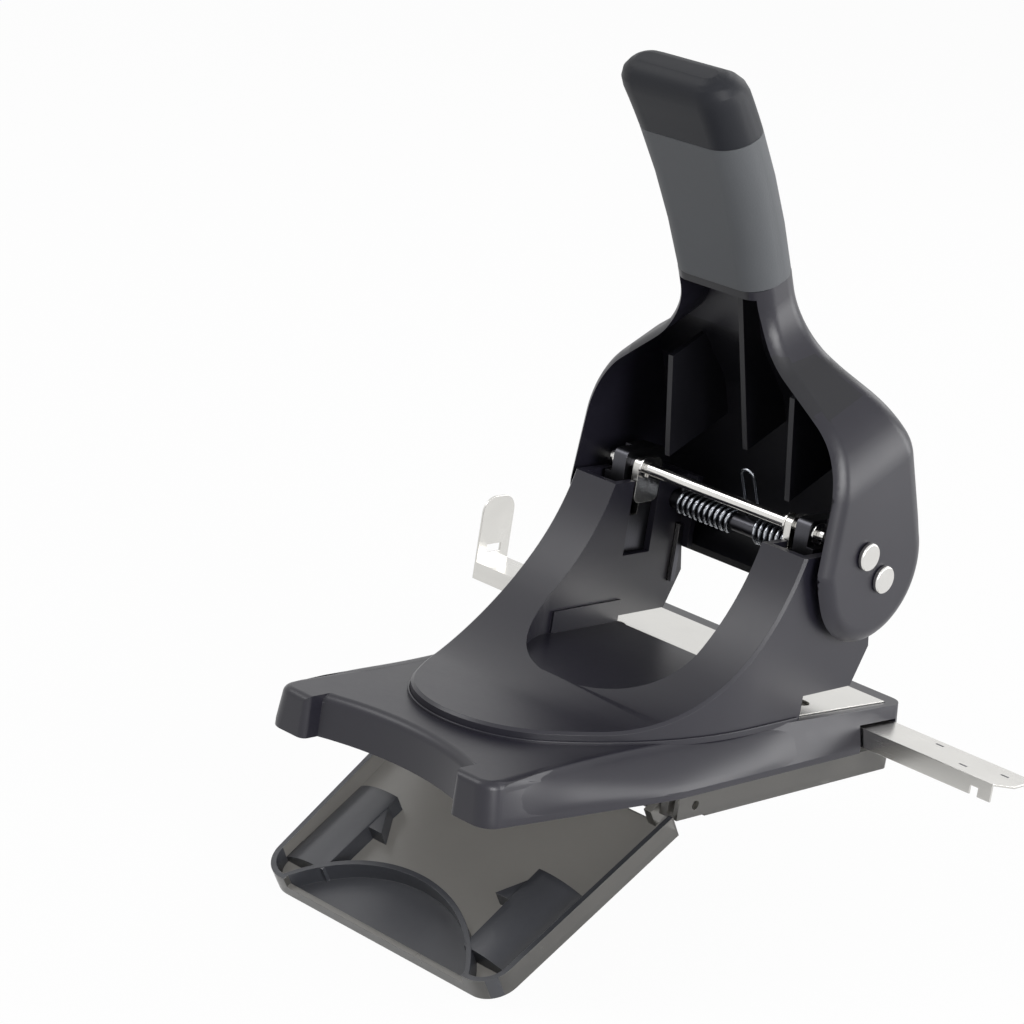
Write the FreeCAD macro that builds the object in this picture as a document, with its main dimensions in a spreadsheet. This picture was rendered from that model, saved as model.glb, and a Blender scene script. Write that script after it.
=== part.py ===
"""Heavy desk punch for two holes: a hand lever drives two punches through the paper.

Millimetres. X runs from left to right as seen from the handle's side, Y from the
handle's side (front) to the paper's side (rear), Z up. X = 0 is the plane of symmetry.
The origin is on the underside, in the middle of the flat rear bottom cover.
"""
import FreeCAD, Part
import math
import os
import Sketcher

doc = FreeCAD.newDocument("HolePunch")
sheet = doc.addObject("Spreadsheet::Sheet", "Sizes")
Vector = FreeCAD.Vector


# ---------------------------------------------------------------- driving sizes

DRIVING_SIZES = {
    # shared
    "wall": 2.5,
    "sheet_gap": 0.3,
    "running_gap": 0.05,
    # base shell, in plan
    "base_half_width": 56.2,
    "base_front_half": 46.6,
    "top_front_half": 45.8,
    "top_rear_half": 55.4,
    "waist_half": 42.9,
    "waist_y": -75.0,
    "waist_radius": 200.0,
    "base_front_y": -132.0,
    "base_rear_y": 55.0,
    "flank_bend_y": -58.0,
    "flank_bend_radius": 60.0,
    "foot_inner_x": 31.5,
    "foot_radius": 6.0,
    "rear_radius": 5.0,
    "notch_side_y": -125.5,
    "notch_apex_y": -119.0,
    # base shell, in height
    "shell_bottom_z": 8.8,
    "skirt_height": 2.0,
    "base_top_z": 22.5,
    "base_rim_radius": 3.0,
    # table and paper throat
    "table_rim": 3.0,
    "table_rear_margin": 7.0,
    "table_thick": 1.5,
    "table_proud": 0.5,
    "throat_height": 7.2,
    "throat_end_y": 6.5,
    "hole_spacing": 80.0,
    "hole_margin": 12.0,
    "punch_radius": 3.0,
    # yoke over the base
    "yoke_half_width": 49.4,
    "arm_width": 18.15,
    "yoke_nose_y": -106.0,
    "yoke_tangent_y": -17.0,
    "yoke_side_radius": 138.0,
    "apron_height": 3.8,
    "arm_arc_radius": 72.6,
    "arm_arc_y": -74.0,
    "arm_top_z": 77.2,
    "arm_rear_y": 34.6,
    "yoke_edge_trim": 0.9,
    "gap_nose_y": -28.0,
    "gap_nose_depth": 28.0,
    "gap_floor_rise": 2.5,
    "ledge_reach": 1.0,
    "ledge_height": 7.5,
    "ledge_front_y": -26.0,
    "slot_gap": 0.7,
    "yoke_heel_y": 30.5,
    "yoke_bulge_y": 36.6,
    "yoke_bulge_z": 43.0,
    "yoke_bulge_top_z": 52.5,
    "flange_reach": 4.3,
    "lug_slot_bottom_z": 51.5,
    # steel frame
    "frame_plate_thick": 3.0,
    "frame_side_thick": 2.0,
    "frame_side_x": 33.9,
    "frame_gap": 1.0,
    "heel_rise": 7.0,
    "lip_reach": 4.4,
    "lip_top_z": 60.0,
    "shelf_half": 8.0,
    "chip_clearance": 1.0,
    "frame_half_width": 39.0,
    "spine_gap": 2.7,
    "frame_front_y": -36.0,
    "frame_rear_y": 31.0,
    # pivot, drive pins and stroke
    "pivot_y": 27.5,
    "pivot_z": 69.0,
    "pivot_radius": 3.0,
    "drive_offset_y": 10.0,
    "drive_offset_z": 8.7,
    "drive_radius": 2.5,
    "head_radius": 4.6,
    "head_thick": 1.6,
    "head_chamfer": 0.4,
    "drive_lift": 0.18,
    "lever_travel": 68.0,
    # cross rod and what it carries
    "rod_radius": 2.0,
    "rod_y": 9.0,
    "rod_z": 81.7,
    "rod_half_length": 45.7,
    "clip_radius": 3.7,
    "clip_thick": 0.8,
    "rod_chamfer": 0.5,
    "clip_x": 42.0,
    "carrier_width": 8.2,
    "carrier_reach": 4.4,
    "carrier_bottom_z": 70.0,
    "carrier_top_z": 86.0,
    "lug_front": 3.4,
    "lug_bottom_z": 69.5,
    "lug_top_z": 84.5,
    "lug_thick": 2.6,
    "lug_gap": 0.2,
    "punch_rest_z": 31.4,
    "punch_vee_depth": 1.6,
    # bushes
    "bush_wall": 0.85,
    "bush_top_z": 45.0,
    "die_rim": 6.5,
    # lever, in its own frame: X, then across (forward to back), then along
    "lever_tilt": 25.0,
    "lever_wall": 3.0,
    "cheek_half_width": 55.8,
    "cheek_top_half": 54.4,
    "shoulder_low": 47.5,
    "shoulder_drop": 16.0,
    "shoulder_radius": 30.0,
    "neck_radius": 25.0,
    "neck_half_width": 19.0,
    "handle_end_half": 21.8,
    "disc_radius": 26.0,
    "disc_across": -1.5,
    "disc_along": 4.0,
    "back_across": 27.3,
    "back_along": 36.0,
    "neck_back_across": 20.4,
    "neck_back_drop": 30.0,
    "neck_front_across": 0.8,
    "front_top_drop": 10.0,
    "front_mid_across": -7.5,
    "front_mid_along": 50.0,
    "front_rise": 10.0,
    "side_blend": 20.0,
    "cheek_straight": 10.0,
    "wall_end_across": 2.0,
    "back_round": 7.0,
    "neck_along": 90.0,
    "handle_end": 170.0,
    "handle_bend": 264.0,
    "handle_slim": 0.5,
    "handle_round": 8.8,
    "sleeve_proud": 0.6,
    "end_round": 9.0,
    "sleeve_end": 146.0,
    "core_half_width": 9.5,
    "core_front": 3.5,
    "core_back": 9.5,
    "core_end": 156.0,
    "rib_thick": 2.0,
    "rib_x": 25.5,
    "rib_low": 23.0,
    "rib_front_across": -6.4,
    "rib_lean": 8.6,
    "middle_rib_low": 28.0,
    "middle_rib_across": 4.0,
    "boss_radius": 6.5,
    # return spring
    "wire_radius": 0.65,
    "coil_radius": 3.8,
    "coil_inner_x": 4.6,
    "coil_outer_x": 29.6,
    "loop_half_width": 3.0,
    "loop_height": 24.0,
    # paper guide
    "guide_thick": 0.8,
    "guide_front_y": 34.0,
    "guide_rear_y": 50.0,
    "guide_top_z": 17.0,
    "guide_flange": 6.3,
    "guide_left_x": -121.8,
    "guide_right_x": 112.0,
    "guide_tab_top_z": 41.0,
    "guide_tab_round": 6.0,
    "guide_tab_slot": 3.0,
    "guide_slot_half": 3.5,
    "guide_slot_gap": 0.8,
    "guide_taper": 5.0,
    "guide_spring_half": 18.0,
    # rear bottom cover
    "cover_inset": 1.5,
    "cover_front_y": -54.0,
    "cover_height": 8.2,
    "cover_wall": 1.8,
    "hinge_relief": 0.6,
    # chip tray, drawn shut, then turned open about its pins
    "tray_pivot_y": -46.0,
    "tray_pivot_z": 4.5,
    "tray_open_angle": 33.0,
    "tray_rear_gap": 1.5,
    "tray_front_y": -136.5,
    "tray_front_half": 50.5,
    "tray_height": 8.0,
    "tray_wall": 1.8,
    "tray_corner_radius": 10.0,
    "scoop_half_width": 39.0,
    "scoop_back_y": -114.5,
    "lip_share": 0.55,
    "block_inner_x": 31.0,
    "block_outer_x": 49.5,
    "block_front_y": -127.0,
    "block_rear_y": -92.0,
    "block_low_z": 3.5,
    "block_top_z": 7.6,
    "block_round": 30.0,
    "gusset_x": 25.0,
    "gusset_run": 14.0,
    "gusset_drop": 0.4,
    "tray_lug_radius": 3.8,
    "post_inset": 4.0,
    "tray_pin_radius": 1.5,
    "tray_lug_thick": 3.0,
    "tray_lug_x": 44.0,
    # screws
    "cover_boss_radius": 2.8,
    "frame_boss_radius": 4.5,
    "cover_screw_radius": 1.4,
    "cover_screw_head": 2.5,
    "cover_front_screw_x": 34.0,
    "cover_rear_screw_x": 49.8,
    "cover_screw_front_y": -44.0,
    "cover_screw_rear_y": 22.0,
    "frame_screw_radius": 2.0,
    "frame_screw_head": 3.6,
    "frame_screw_sink": 0.8,
    "frame_screw_x": 20.0,
    "frame_screw_y": -20.0,
}


class Size:
    """A number together with the sheet formula that gives it."""

    def __init__(self, number, formula):
        self.number = number
        self.formula = formula

    def join(self, other, sign, number):
        return Size(number, f"({self.formula} {sign} {as_size(other).formula})")

    def __add__(self, other):
        return self.join(other, "+", self.number + as_size(other).number)

    def __sub__(self, other):
        return self.join(other, "-", self.number - as_size(other).number)

    def __mul__(self, other):
        return self.join(other, "*", self.number * as_size(other).number)

    def __truediv__(self, other):
        return self.join(other, "/", self.number / as_size(other).number)

    def __neg__(self):
        return Size(-self.number, f"(-1 * {self.formula})")


def as_size(value):
    return value if isinstance(value, Size) else Size(float(value), repr(float(value)))


def root(size):
    return Size(math.sqrt(size.number), f"sqrt({size.formula})")


def sine(angle):
    return Size(math.sin(math.radians(angle.number)), f"sin({angle.formula})")


def cosine(angle):
    return Size(math.cos(math.radians(angle.number)), f"cos({angle.formula})")


class Sizes:
    """The sheet's cells by name, each one a Size."""

    def __init__(self, values):
        for row, (name, value) in enumerate(values.items(), start=1):
            sheet.set(f"A{row}", name)
            sheet.set(f"B{row}", str(value))
            sheet.setAlias(f"B{row}", name)
            setattr(self, name, Size(value, f"Sizes.{name}"))


S = Sizes(DRIVING_SIZES)
doc.recompute()


# ---------------------------------------------------------------- drawing tools

class Bend:
    """Makes the side after a corner an arc that turns left, or right if told so."""

    def __init__(self, radius, left=True):
        self.radius = radius
        self.left = left


def bind(target, name, size):
    target.setExpression(name, as_size(size).formula)


def origin_plane(body, plane):
    return next(item for item in body.Origin.OriginFeatures if item.Role == plane + "_Plane")


def new_body(name):
    body = doc.addObject("PartDesign::Body", name)
    body.Label = name
    return body


def new_sketch(body, plane, offset):
    sketch = body.newObject("Sketcher::SketchObject", "Sketch")
    sketch.AttachmentSupport = [(origin_plane(body, plane), "")]
    sketch.MapMode = "FlatFace"
    bind(sketch, "AttachmentOffset.Base.z", offset)
    return sketch


def add_rule(sketch, *rule):
    return sketch.addConstraint(Sketcher.Constraint(*rule))


def measure(sketch, size, kind, *where):
    """A dimension of a sketch, tied to its size."""
    rule = add_rule(sketch, kind, *where, size.number)
    sketch.setExpression(f"Constraints[{rule}]", size.formula)


def pin_point(sketch, element, end, x, y):
    measure(sketch, x, "DistanceX", -1, 1, element, end)
    measure(sketch, y, "DistanceY", -1, 1, element, end)


def add_arc(sketch, start, finish, centre, radius, left):
    """An arc from start to finish; returns its element and the numbers of those two ends."""
    first, last = (start, finish) if left else (finish, start)
    angles = [math.atan2(spot.y - centre.y, spot.x - centre.x) for spot in (first, last)]
    circle = Part.Circle(centre, Vector(0, 0, 1), radius)
    element = sketch.addGeometry(Part.ArcOfCircle(circle, *angles), False)
    return (element, 1, 2) if left else (element, 2, 1)


def add_side(sketch, start, finish, bend):
    if bend is None:
        return sketch.addGeometry(Part.LineSegment(start, finish), False), 1, 2
    chord = finish - start
    radius = bend.radius.number
    rise = math.sqrt(radius ** 2 - chord.Length ** 2 / 4)
    across = Vector(-chord.y, chord.x, 0).normalize() * (rise if bend.left else -rise)
    side = add_arc(sketch, start, finish, (start + finish) / 2 + across, radius, bend.left)
    measure(sketch, bend.radius, "Radius", side[0])
    return side


def draw_loop(sketch, *items):
    """A closed outline through (x, y) or (x, y, fillet radius) corners.

    A Bend after a corner makes the next side an arc; fillets join straight sides only.
    """
    corners = []
    bends = []
    for item in items:
        if isinstance(item, Bend):
            bends[-1] = item
        else:
            corners.append([as_size(value) for value in item])
            bends.append(None)
    spots = [Vector(corner[0].number, corner[1].number, 0) for corner in corners]
    arrive = list(spots)
    leave = list(spots)
    fillets = {}
    for number, corner in enumerate(corners):
        if len(corner) == 3:
            ahead = (spots[(number + 1) % len(spots)] - spots[number]).normalize()
            behind = (spots[number - 1] - spots[number]).normalize()
            turn = math.pi - ahead.getAngle(behind)
            back = corner[2].number * math.tan(turn / 2)
            arrive[number] = spots[number] + behind * back
            leave[number] = spots[number] + ahead * back
            middle = (ahead + behind).normalize() * (corner[2].number / math.cos(turn / 2))
            fillets[number] = (spots[number] + middle, behind.cross(ahead).z < 0)
    sides = [add_side(sketch, leave[number], arrive[(number + 1) % len(spots)], bend)
             for number, bend in enumerate(bends)]
    for number, corner in enumerate(corners):
        before, _, before_end = sides[number - 1]
        after, after_end, _ = sides[number]
        if number not in fillets:
            add_rule(sketch, "Coincident", before, before_end, after, after_end)
            pin_point(sketch, after, after_end, corner[0], corner[1])
            continue
        centre, left = fillets[number]
        arc, arc_start, arc_end = add_arc(
            sketch, arrive[number], leave[number], centre, corner[2].number, left)
        tip = sketch.addGeometry(Part.Point(spots[number]), True)
        pin_point(sketch, tip, 1, corner[0], corner[1])
        add_rule(sketch, "PointOnObject", tip, 1, before)
        add_rule(sketch, "PointOnObject", tip, 1, after)
        add_rule(sketch, "Tangent", before, before_end, arc, arc_start)
        add_rule(sketch, "Tangent", arc, arc_end, after, after_end)
        measure(sketch, corner[2], "Radius", arc)


def draw_circle(sketch, x, y, radius):
    x, y, radius = as_size(x), as_size(y), as_size(radius)
    circle = Part.Circle(Vector(x.number, y.number, 0), Vector(0, 0, 1), radius.number)
    element = sketch.addGeometry(circle, False)
    pin_point(sketch, element, 3, x, y)
    measure(sketch, radius, "Radius", element)


def box_loop(x_low, y_low, x_high, y_high, *radius):
    return [(x_low, y_low, *radius), (x_high, y_low, *radius),
            (x_high, y_high, *radius), (x_low, y_high, *radius)]


def mirrored(loop):
    """The same outline on the other side of X = 0."""
    turned = [Bend(item.radius, not item.left) if isinstance(item, Bend)
              else (-as_size(item[0]), *item[1:]) for item in loop]
    return turned


def draw(sketch, loops):
    """Each loop is a list for draw_loop, or a tuple (x, y, radius) for a circle."""
    for loop in loops:
        if isinstance(loop, list):
            draw_loop(sketch, *loop)
        else:
            draw_circle(sketch, *loop)


def pad(body, plane, low, high, *loops):
    """Material between two levels of the axis across the plane."""
    low, high = as_size(low), as_size(high)
    sketch = new_sketch(body, plane, -high if plane == "XZ" else low)
    draw(sketch, loops)
    feature = body.newObject("PartDesign::Pad", "Pad")
    feature.Profile = sketch
    bind(feature, "Length", high - low)
    return feature


def pocket(body, plane, low, high, *loops):
    """Room between two levels of the axis across the plane."""
    low, high = as_size(low), as_size(high)
    sketch = new_sketch(body, plane, -low if plane == "XZ" else high)
    draw(sketch, loops)
    feature = body.newObject("PartDesign::Pocket", "Pocket")
    feature.Profile = sketch
    bind(feature, "Length", high - low)
    return feature


def loft(body, kind, plane, sections, ruled=False):
    """A loft through (offset, loop) sections; kind is AdditiveLoft or SubtractiveLoft."""
    sketches = []
    for offset, loop in sections:
        sketch = new_sketch(body, plane, offset)
        draw(sketch, [loop])
        sketches.append(sketch)
    feature = body.newObject("PartDesign::" + kind, kind)
    feature.Profile = sketches[0]
    feature.Sections = sketches[1:]
    feature.Ruled = ruled
    return feature


def trim_edges(body, kind, size, wanted):
    """A Fillet or a Chamfer on those edges of the body that pass the test."""
    doc.recompute()
    base = body.Tip
    names = [f"Edge{number}" for number, edge in enumerate(base.Shape.Edges, start=1)
             if wanted(edge.BoundBox, edge)]
    feature = body.newObject("PartDesign::" + kind, kind)
    feature.Base = (base, names)
    bind(feature, "Radius" if kind == "Fillet" else "Size", size)
    return feature


def near(value, size, slack=0.05):
    return abs(value - as_size(size).number) < slack


def place(item, x=0.0, y=0.0, z=0.0, axis=None, angle=0.0):
    """Ties an object's place, and its turn about an axis, to the sheet."""
    axis = axis or (1, 0, 0)
    turn = "rotation(vector({}; {}; {}); {})".format(*axis, as_size(angle).formula)
    spot = "; ".join(as_size(value).formula for value in (x, y, z))
    item.setExpression("Placement", f"placement(vector({spot}); {turn})")


def rod(name, radius, low, high, x=0.0, y=0.0, z=0.0, along="X"):
    """A cylinder between two levels of X or of Z."""
    item = doc.addObject("Part::Cylinder", name)
    bind(item, "Radius", radius)
    bind(item, "Height", as_size(high) - low)
    if along == "X":
        place(item, low, y, z, (0, 1, 0), 90)
    else:
        place(item, x, y, low)
    return item


def fuse(name, *items):
    item = doc.addObject("Part::MultiFuse", name)
    item.Shapes = list(items)
    item.Refine = True
    item.Label = name
    return item


def cut(name, base, tool):
    item = doc.addObject("Part::Cut", name)
    item.Base = base
    item.Tool = tool
    item.Label = name
    return item


def group(name, *items):
    """Several separate solids in one node."""
    item = doc.addObject("Part::Compound", name)
    item.Links = list(items)
    item.Label = name
    return item


# ---------------------------------------------------------------- worked out sizes

NO_SIZE = as_size(0)
THROUGH = S.base_half_width * 2
ceiling_z = S.base_top_z + S.table_proud + S.throat_height
table_top_z = S.base_top_z + S.table_proud
table_z = table_top_z - S.table_thick
die_z = table_z - S.frame_plate_thick
frame_z = die_z - S.frame_plate_thick
apron_z = S.base_top_z + S.apron_height
gap_floor_z = apron_z + S.gap_floor_rise
punch_x = S.hole_spacing / 2
punch_y = S.throat_end_y + S.hole_margin
punch_bore = S.punch_radius + S.running_gap
gap_half = S.yoke_half_width - S.arm_width
pocket_x = gap_half + S.wall
arm_outer_x = S.yoke_half_width - S.wall - S.slot_gap
drive_y = S.pivot_y - S.drive_offset_y
drive_z = S.pivot_z + S.drive_offset_z
table_front_y = S.throat_end_y + S.running_gap
table_rear_y = S.base_rear_y - S.table_rear_margin
bush_radius = punch_bore + S.bush_wall
flange_z = ceiling_z + S.wall + S.sheet_gap
cheek_inner_x = S.cheek_half_width - S.lever_wall
shoulder_high = S.neck_along - S.shoulder_drop
neck_back_along = S.neck_along - S.neck_back_drop
front_top_along = S.neck_along - S.front_top_drop
spine_rear_y = S.throat_end_y - S.spine_gap
cover_half = S.base_half_width - S.cover_inset
tray_bore = S.tray_pin_radius + S.running_gap
lug_slot_rear_y = S.tray_pivot_y + S.tray_lug_radius + S.wall / 2
cover_boss_z = S.cover_wall
boss_face_x = S.yoke_half_width + S.sheet_gap
lug_inner_x = gap_half - S.lug_gap
lug_front_y = S.rod_y - S.lug_front
lug_rear_y = drive_y - S.sheet_gap
lever_sin, lever_cos = sine(S.lever_tilt), cosine(S.lever_tilt)
drive_across = S.drive_offset_z * lever_sin - S.drive_offset_y * lever_cos
drive_along = S.drive_offset_y * lever_sin + S.drive_offset_z * lever_cos
travel_sin, travel_cos = sine(S.lever_travel), cosine(S.lever_travel)
stroke = S.drive_offset_z - S.drive_offset_z * travel_cos + S.drive_offset_y * travel_sin
drive_low_z = drive_z - stroke - S.drive_radius
drive_front_y = S.pivot_y - root(S.drive_offset_y * S.drive_offset_y
                                 + S.drive_offset_z * S.drive_offset_z)
punch_top_z = drive_z - S.drive_radius - S.sheet_gap * 2
screw_head_z = S.cover_wall - S.sheet_gap * 2
frame_screw_top_z = apron_z - S.frame_screw_sink
rear_boss_top_z = frame_z + S.frame_plate_thick / 2
frame_rear_y = S.arm_rear_y - S.wall - S.sheet_gap
COVER_SCREWS = [(S.cover_front_screw_x * side, S.cover_screw_front_y) for side in (-1, 1)]
COVER_SCREWS += [(S.cover_rear_screw_x * side, S.cover_screw_rear_y) for side in (-1, 1)]
FRAME_SCREWS = [(S.frame_screw_x * side, S.frame_screw_y) for side in (-1, 1)]


def arc_rise(half_chord, rise):
    """Radius of the arc over a chord of that half length that rises by that much."""
    return (half_chord * half_chord + rise * rise) / (rise * 2)




def crease_half(y):
    """Half width of the base's flat top behind its waist, at a given Y."""
    share = (as_size(y) - S.waist_y) / (S.base_rear_y - S.waist_y)
    return S.waist_half + (S.top_rear_half - S.waist_half) * share


# ---------------------------------------------------------------- base

def base_outline(front_half, bend_half, bend_y, bend_radius, rear_half, inset):
    """The base in plan: two feet, the finger notch between them and the long flanks."""
    front_y = S.base_front_y + inset
    rear_y = S.base_rear_y - inset
    right = [(front_half - inset, front_y, S.foot_radius - inset),
             (bend_half - inset, bend_y, bend_radius),
             (rear_half - inset, rear_y, S.rear_radius - inset)]
    inner_x = S.foot_inner_x + inset
    notch_y = S.notch_side_y + inset
    return [(inner_x, front_y), *right, *reversed(mirrored(right)), (-inner_x, front_y),
            (-inner_x, notch_y), Bend(arc_rise(inner_x, S.notch_apex_y - S.notch_side_y), False),
            (inner_x, notch_y)]


def skirt_outline(inset):
    return base_outline(S.base_front_half, S.base_half_width, S.flank_bend_y,
                        S.flank_bend_radius, S.base_half_width, inset)


def top_outline(inset):
    return base_outline(S.top_front_half, S.waist_half, S.waist_y, S.waist_radius,
                        S.top_rear_half, inset)


def make_base_shell():
    body = new_body("base_shell")
    skirt_z = S.shell_bottom_z + S.skirt_height
    roof_z = S.base_top_z - S.wall
    pad(body, "XY", S.shell_bottom_z, skirt_z, skirt_outline(NO_SIZE))
    loft(body, "AdditiveLoft", "XY",
         [(skirt_z, skirt_outline(NO_SIZE)), (S.base_top_z, top_outline(NO_SIZE))], ruled=True)
    pocket(body, "XY", S.shell_bottom_z, roof_z, top_outline(S.wall))
    for x, y in COVER_SCREWS:
        pad(body, "XY", cover_boss_z, roof_z if y.number < 0 else rear_boss_top_z,
            (x, y, S.cover_boss_radius))
    for x, y in FRAME_SCREWS:
        pad(body, "XY", die_z, roof_z, (x, y, S.frame_boss_radius))
        pocket(body, "XY", die_z, S.base_top_z, (x, y, S.frame_screw_radius + S.sheet_gap))
    pocket(body, "XY", table_z, table_top_z, table_loop(S.sheet_gap))
    pocket(body, "XY", roof_z, table_z, die_loop(S.sheet_gap))
    for side in (-1, 1):
        inner = (S.frame_side_x - S.sheet_gap) * side
        outer = (S.frame_side_x + S.frame_side_thick + S.sheet_gap) * side
        pocket(body, "XY", roof_z, S.base_top_z,
               box_loop(inner, S.frame_front_y - S.sheet_gap, outer, spine_rear_y + S.sheet_gap))
    low, high = (S.guide_front_y - S.guide_slot_gap, S.guide_rear_y + S.guide_slot_gap)
    slot = box_loop(low, S.shell_bottom_z - S.wall, high, S.guide_top_z + S.guide_slot_gap)
    wall_room = S.wall * 3
    pocket(body, "YZ", S.base_half_width - wall_room, S.base_half_width + wall_room, slot)
    pocket(body, "YZ", -(S.base_half_width + wall_room), -(S.base_half_width - wall_room), slot)
    for x, y in COVER_SCREWS:
        pocket(body, "XY", cover_boss_z, frame_z, (x, y, S.cover_screw_radius))
    trim_edges(body, "Fillet", S.base_rim_radius, lambda bounds, edge: (
        near(bounds.ZMin, S.base_top_z) and bounds.YMax < S.notch_side_y.number + S.foot_radius.number * 2
        and near(bounds.XMax, S.foot_inner_x) and near(bounds.XMin, -S.foot_inner_x)))
    return body


def table_loop(margin):
    """The steel table, a little in from the edge of the base's flat top."""
    front_y = table_front_y - margin
    rear_y = table_rear_y + margin
    front_x = crease_half(table_front_y) - S.table_rim + margin
    rear_x = crease_half(table_rear_y) - S.table_rim + margin
    return [(-front_x, front_y), (front_x, front_y), (rear_x, rear_y), (-rear_x, rear_y)]


def die_loop(margin):
    half_x = punch_x + S.die_rim + margin
    return box_loop(-half_x, punch_y - S.die_rim - margin, half_x, punch_y + S.die_rim + margin)


def make_table():
    body = new_body("table_plate")
    pad(body, "XY", table_z, table_top_z, table_loop(NO_SIZE))
    pocket(body, "XY", table_z, table_top_z, *punch_holes(punch_bore))
    return body


def punch_holes(radius):
    return [(punch_x * side, punch_y, radius) for side in (-1, 1)]


def make_die_plate():
    body = new_body("die_plate")
    pad(body, "XY", die_z, table_z, die_loop(NO_SIZE))
    pocket(body, "XY", die_z, table_z, *punch_holes(punch_bore))
    return body


# ---------------------------------------------------------------- yoke and steel frame

def yoke_plan():
    """The yoke in plan: straight sides that run through long arcs into a round nose."""
    depth = S.yoke_tangent_y - S.yoke_nose_y
    side = S.yoke_side_radius
    offset = side - S.yoke_half_width
    nose = (offset * offset + depth * depth - side * side) / ((depth - side) * 2)
    share = side / (side - nose)
    join_x = offset * nose / (side - nose)
    join_y = S.yoke_tangent_y + (S.yoke_nose_y + nose - S.yoke_tangent_y) * share
    half, rear_y = S.yoke_half_width, S.yoke_bulge_y + S.wall
    return [(half, rear_y), (-half, rear_y), (-half, S.yoke_tangent_y), Bend(side),
            (-join_x, join_y), Bend(nose), (join_x, join_y), Bend(side),
            (half, S.yoke_tangent_y)]


arc_centre_z = apron_z + S.arm_arc_radius


def arc_y(radius, z):
    """Where the arms' front arc, or one about the same centre, passes a height."""
    drop = arc_centre_z - z
    return S.arm_arc_y + root(radius * radius - drop * drop)


def arc_z(radius, y):
    reach = as_size(y) - S.arm_arc_y
    return arc_centre_z - root(radius * radius - reach * reach)


def arm_side():
    """The yoke from the side: flat apron, then the arms' sweep up to the pivot."""
    front_y = S.yoke_nose_y - S.wall
    return [(front_y, S.base_top_z), (S.throat_end_y, S.base_top_z),
            (S.throat_end_y, ceiling_z), (S.yoke_heel_y, ceiling_z),
            (S.yoke_bulge_y, S.yoke_bulge_z), (S.arm_rear_y, S.yoke_bulge_top_z),
            (S.arm_rear_y, S.arm_top_z), (arc_y(S.arm_arc_radius, S.arm_top_z), S.arm_top_z),
            Bend(S.arm_arc_radius, False), (S.arm_arc_y, apron_z), (front_y, apron_z)]


def arm_room():
    """The room inside one arm, open at the top and towards the base."""
    radius = S.arm_arc_radius + S.wall
    front_y = S.frame_front_y - S.sheet_gap
    rear_y = S.arm_rear_y - S.wall
    high_z = S.arm_top_z + S.wall
    top_y = arc_y(radius, S.arm_top_z)
    return [(front_y, S.base_top_z - S.wall), (spine_rear_y, S.base_top_z - S.wall),
            (spine_rear_y, ceiling_z + S.wall), (S.yoke_heel_y - S.wall, ceiling_z + S.wall),
            (S.yoke_bulge_y - S.wall, S.yoke_bulge_z), (rear_y, S.yoke_bulge_top_z),
            (rear_y, high_z), (top_y, high_z), (top_y, S.arm_top_z), Bend(radius, False),
            (front_y, arc_z(radius, front_y))]


def make_yoke():
    body = new_body("yoke_cover")
    pad(body, "YZ", -S.yoke_half_width - S.wall, S.yoke_half_width + S.wall, arm_side())
    far = S.base_half_width * 2
    pocket(body, "XY", S.base_top_z - S.wall, S.arm_top_z + S.wall,
           box_loop(-far, -far, far, S.yoke_bulge_y + S.wall * 2), yoke_plan())
    high_z = S.arm_top_z + S.wall
    nose_radius = arc_rise(gap_half, S.gap_nose_depth)
    rear_y = S.yoke_bulge_y + S.wall
    pocket(body, "XY", gap_floor_z, high_z,
           [(gap_half, rear_y), (-gap_half, rear_y), (-gap_half, S.gap_nose_y),
            Bend(nose_radius), (gap_half, S.gap_nose_y)])
    trim_edges(body, "Chamfer", S.yoke_edge_trim, on_arm_rim)
    for side in (-1, 1):
        low, high = sorted((pocket_x * side, arm_outer_x * side), key=lambda size: size.number)
        pocket(body, "YZ", low, high, arm_room())
        inner, outer = gap_half * side, (pocket_x + S.sheet_gap) * side
        low, high = sorted((inner - S.wall * side, outer), key=lambda size: size.number)
        pocket(body, "YZ", low, high,
               box_loop(lug_front_y - S.slot_gap, S.lug_slot_bottom_z,
                        lug_rear_y + S.slot_gap, high_z))
        low, high = sorted((inner - S.wall * side, outer), key=lambda size: size.number)
        pocket(body, "YZ", low, high,
               box_loop(frame_rear_y - S.frame_side_thick - S.sheet_gap,
                        flange_z + S.heel_rise - S.sheet_gap, frame_rear_y + S.sheet_gap,
                        S.lip_top_z + S.sheet_gap))
        low, high = sorted(((arm_outer_x - S.wall) * side, far * side),
                           key=lambda size: size.number)
        pocket(body, "YZ", low, high,
               box_loop(drive_front_y - S.drive_radius - S.slot_gap, drive_low_z - S.slot_gap,
                        drive_y + S.drive_radius + S.slot_gap, high_z))
        flange = sorted((gap_half * side + S.wall * side / 2, (gap_half - S.flange_reach) * side),
                        key=lambda size: size.number)
        pad(body, "XY", S.yoke_bulge_top_z, S.arm_top_z,
            box_loop(flange[0], S.arm_rear_y - S.wall, flange[1], S.arm_rear_y))
        ledge = sorted(((gap_half + S.wall / 2) * side, (gap_half - S.ledge_reach) * side),
                       key=lambda size: size.number)
        pad(body, "XY", gap_floor_z - S.wall / 2, gap_floor_z + S.ledge_height,
            box_loop(ledge[0], S.ledge_front_y, ledge[1], S.throat_end_y))
    pocket(body, "YZ", -far, far, (S.pivot_y, S.pivot_z, S.pivot_radius + S.sheet_gap))
    pocket(body, "XY", ceiling_z - S.wall, ceiling_z + S.wall * 2,
           *punch_holes(bush_radius + S.sheet_gap))
    for x, y in FRAME_SCREWS:
        pocket(body, "XY", S.base_top_z, frame_screw_top_z + S.sheet_gap,
               (x, y, S.frame_screw_radius + S.running_gap))
    return body


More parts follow.
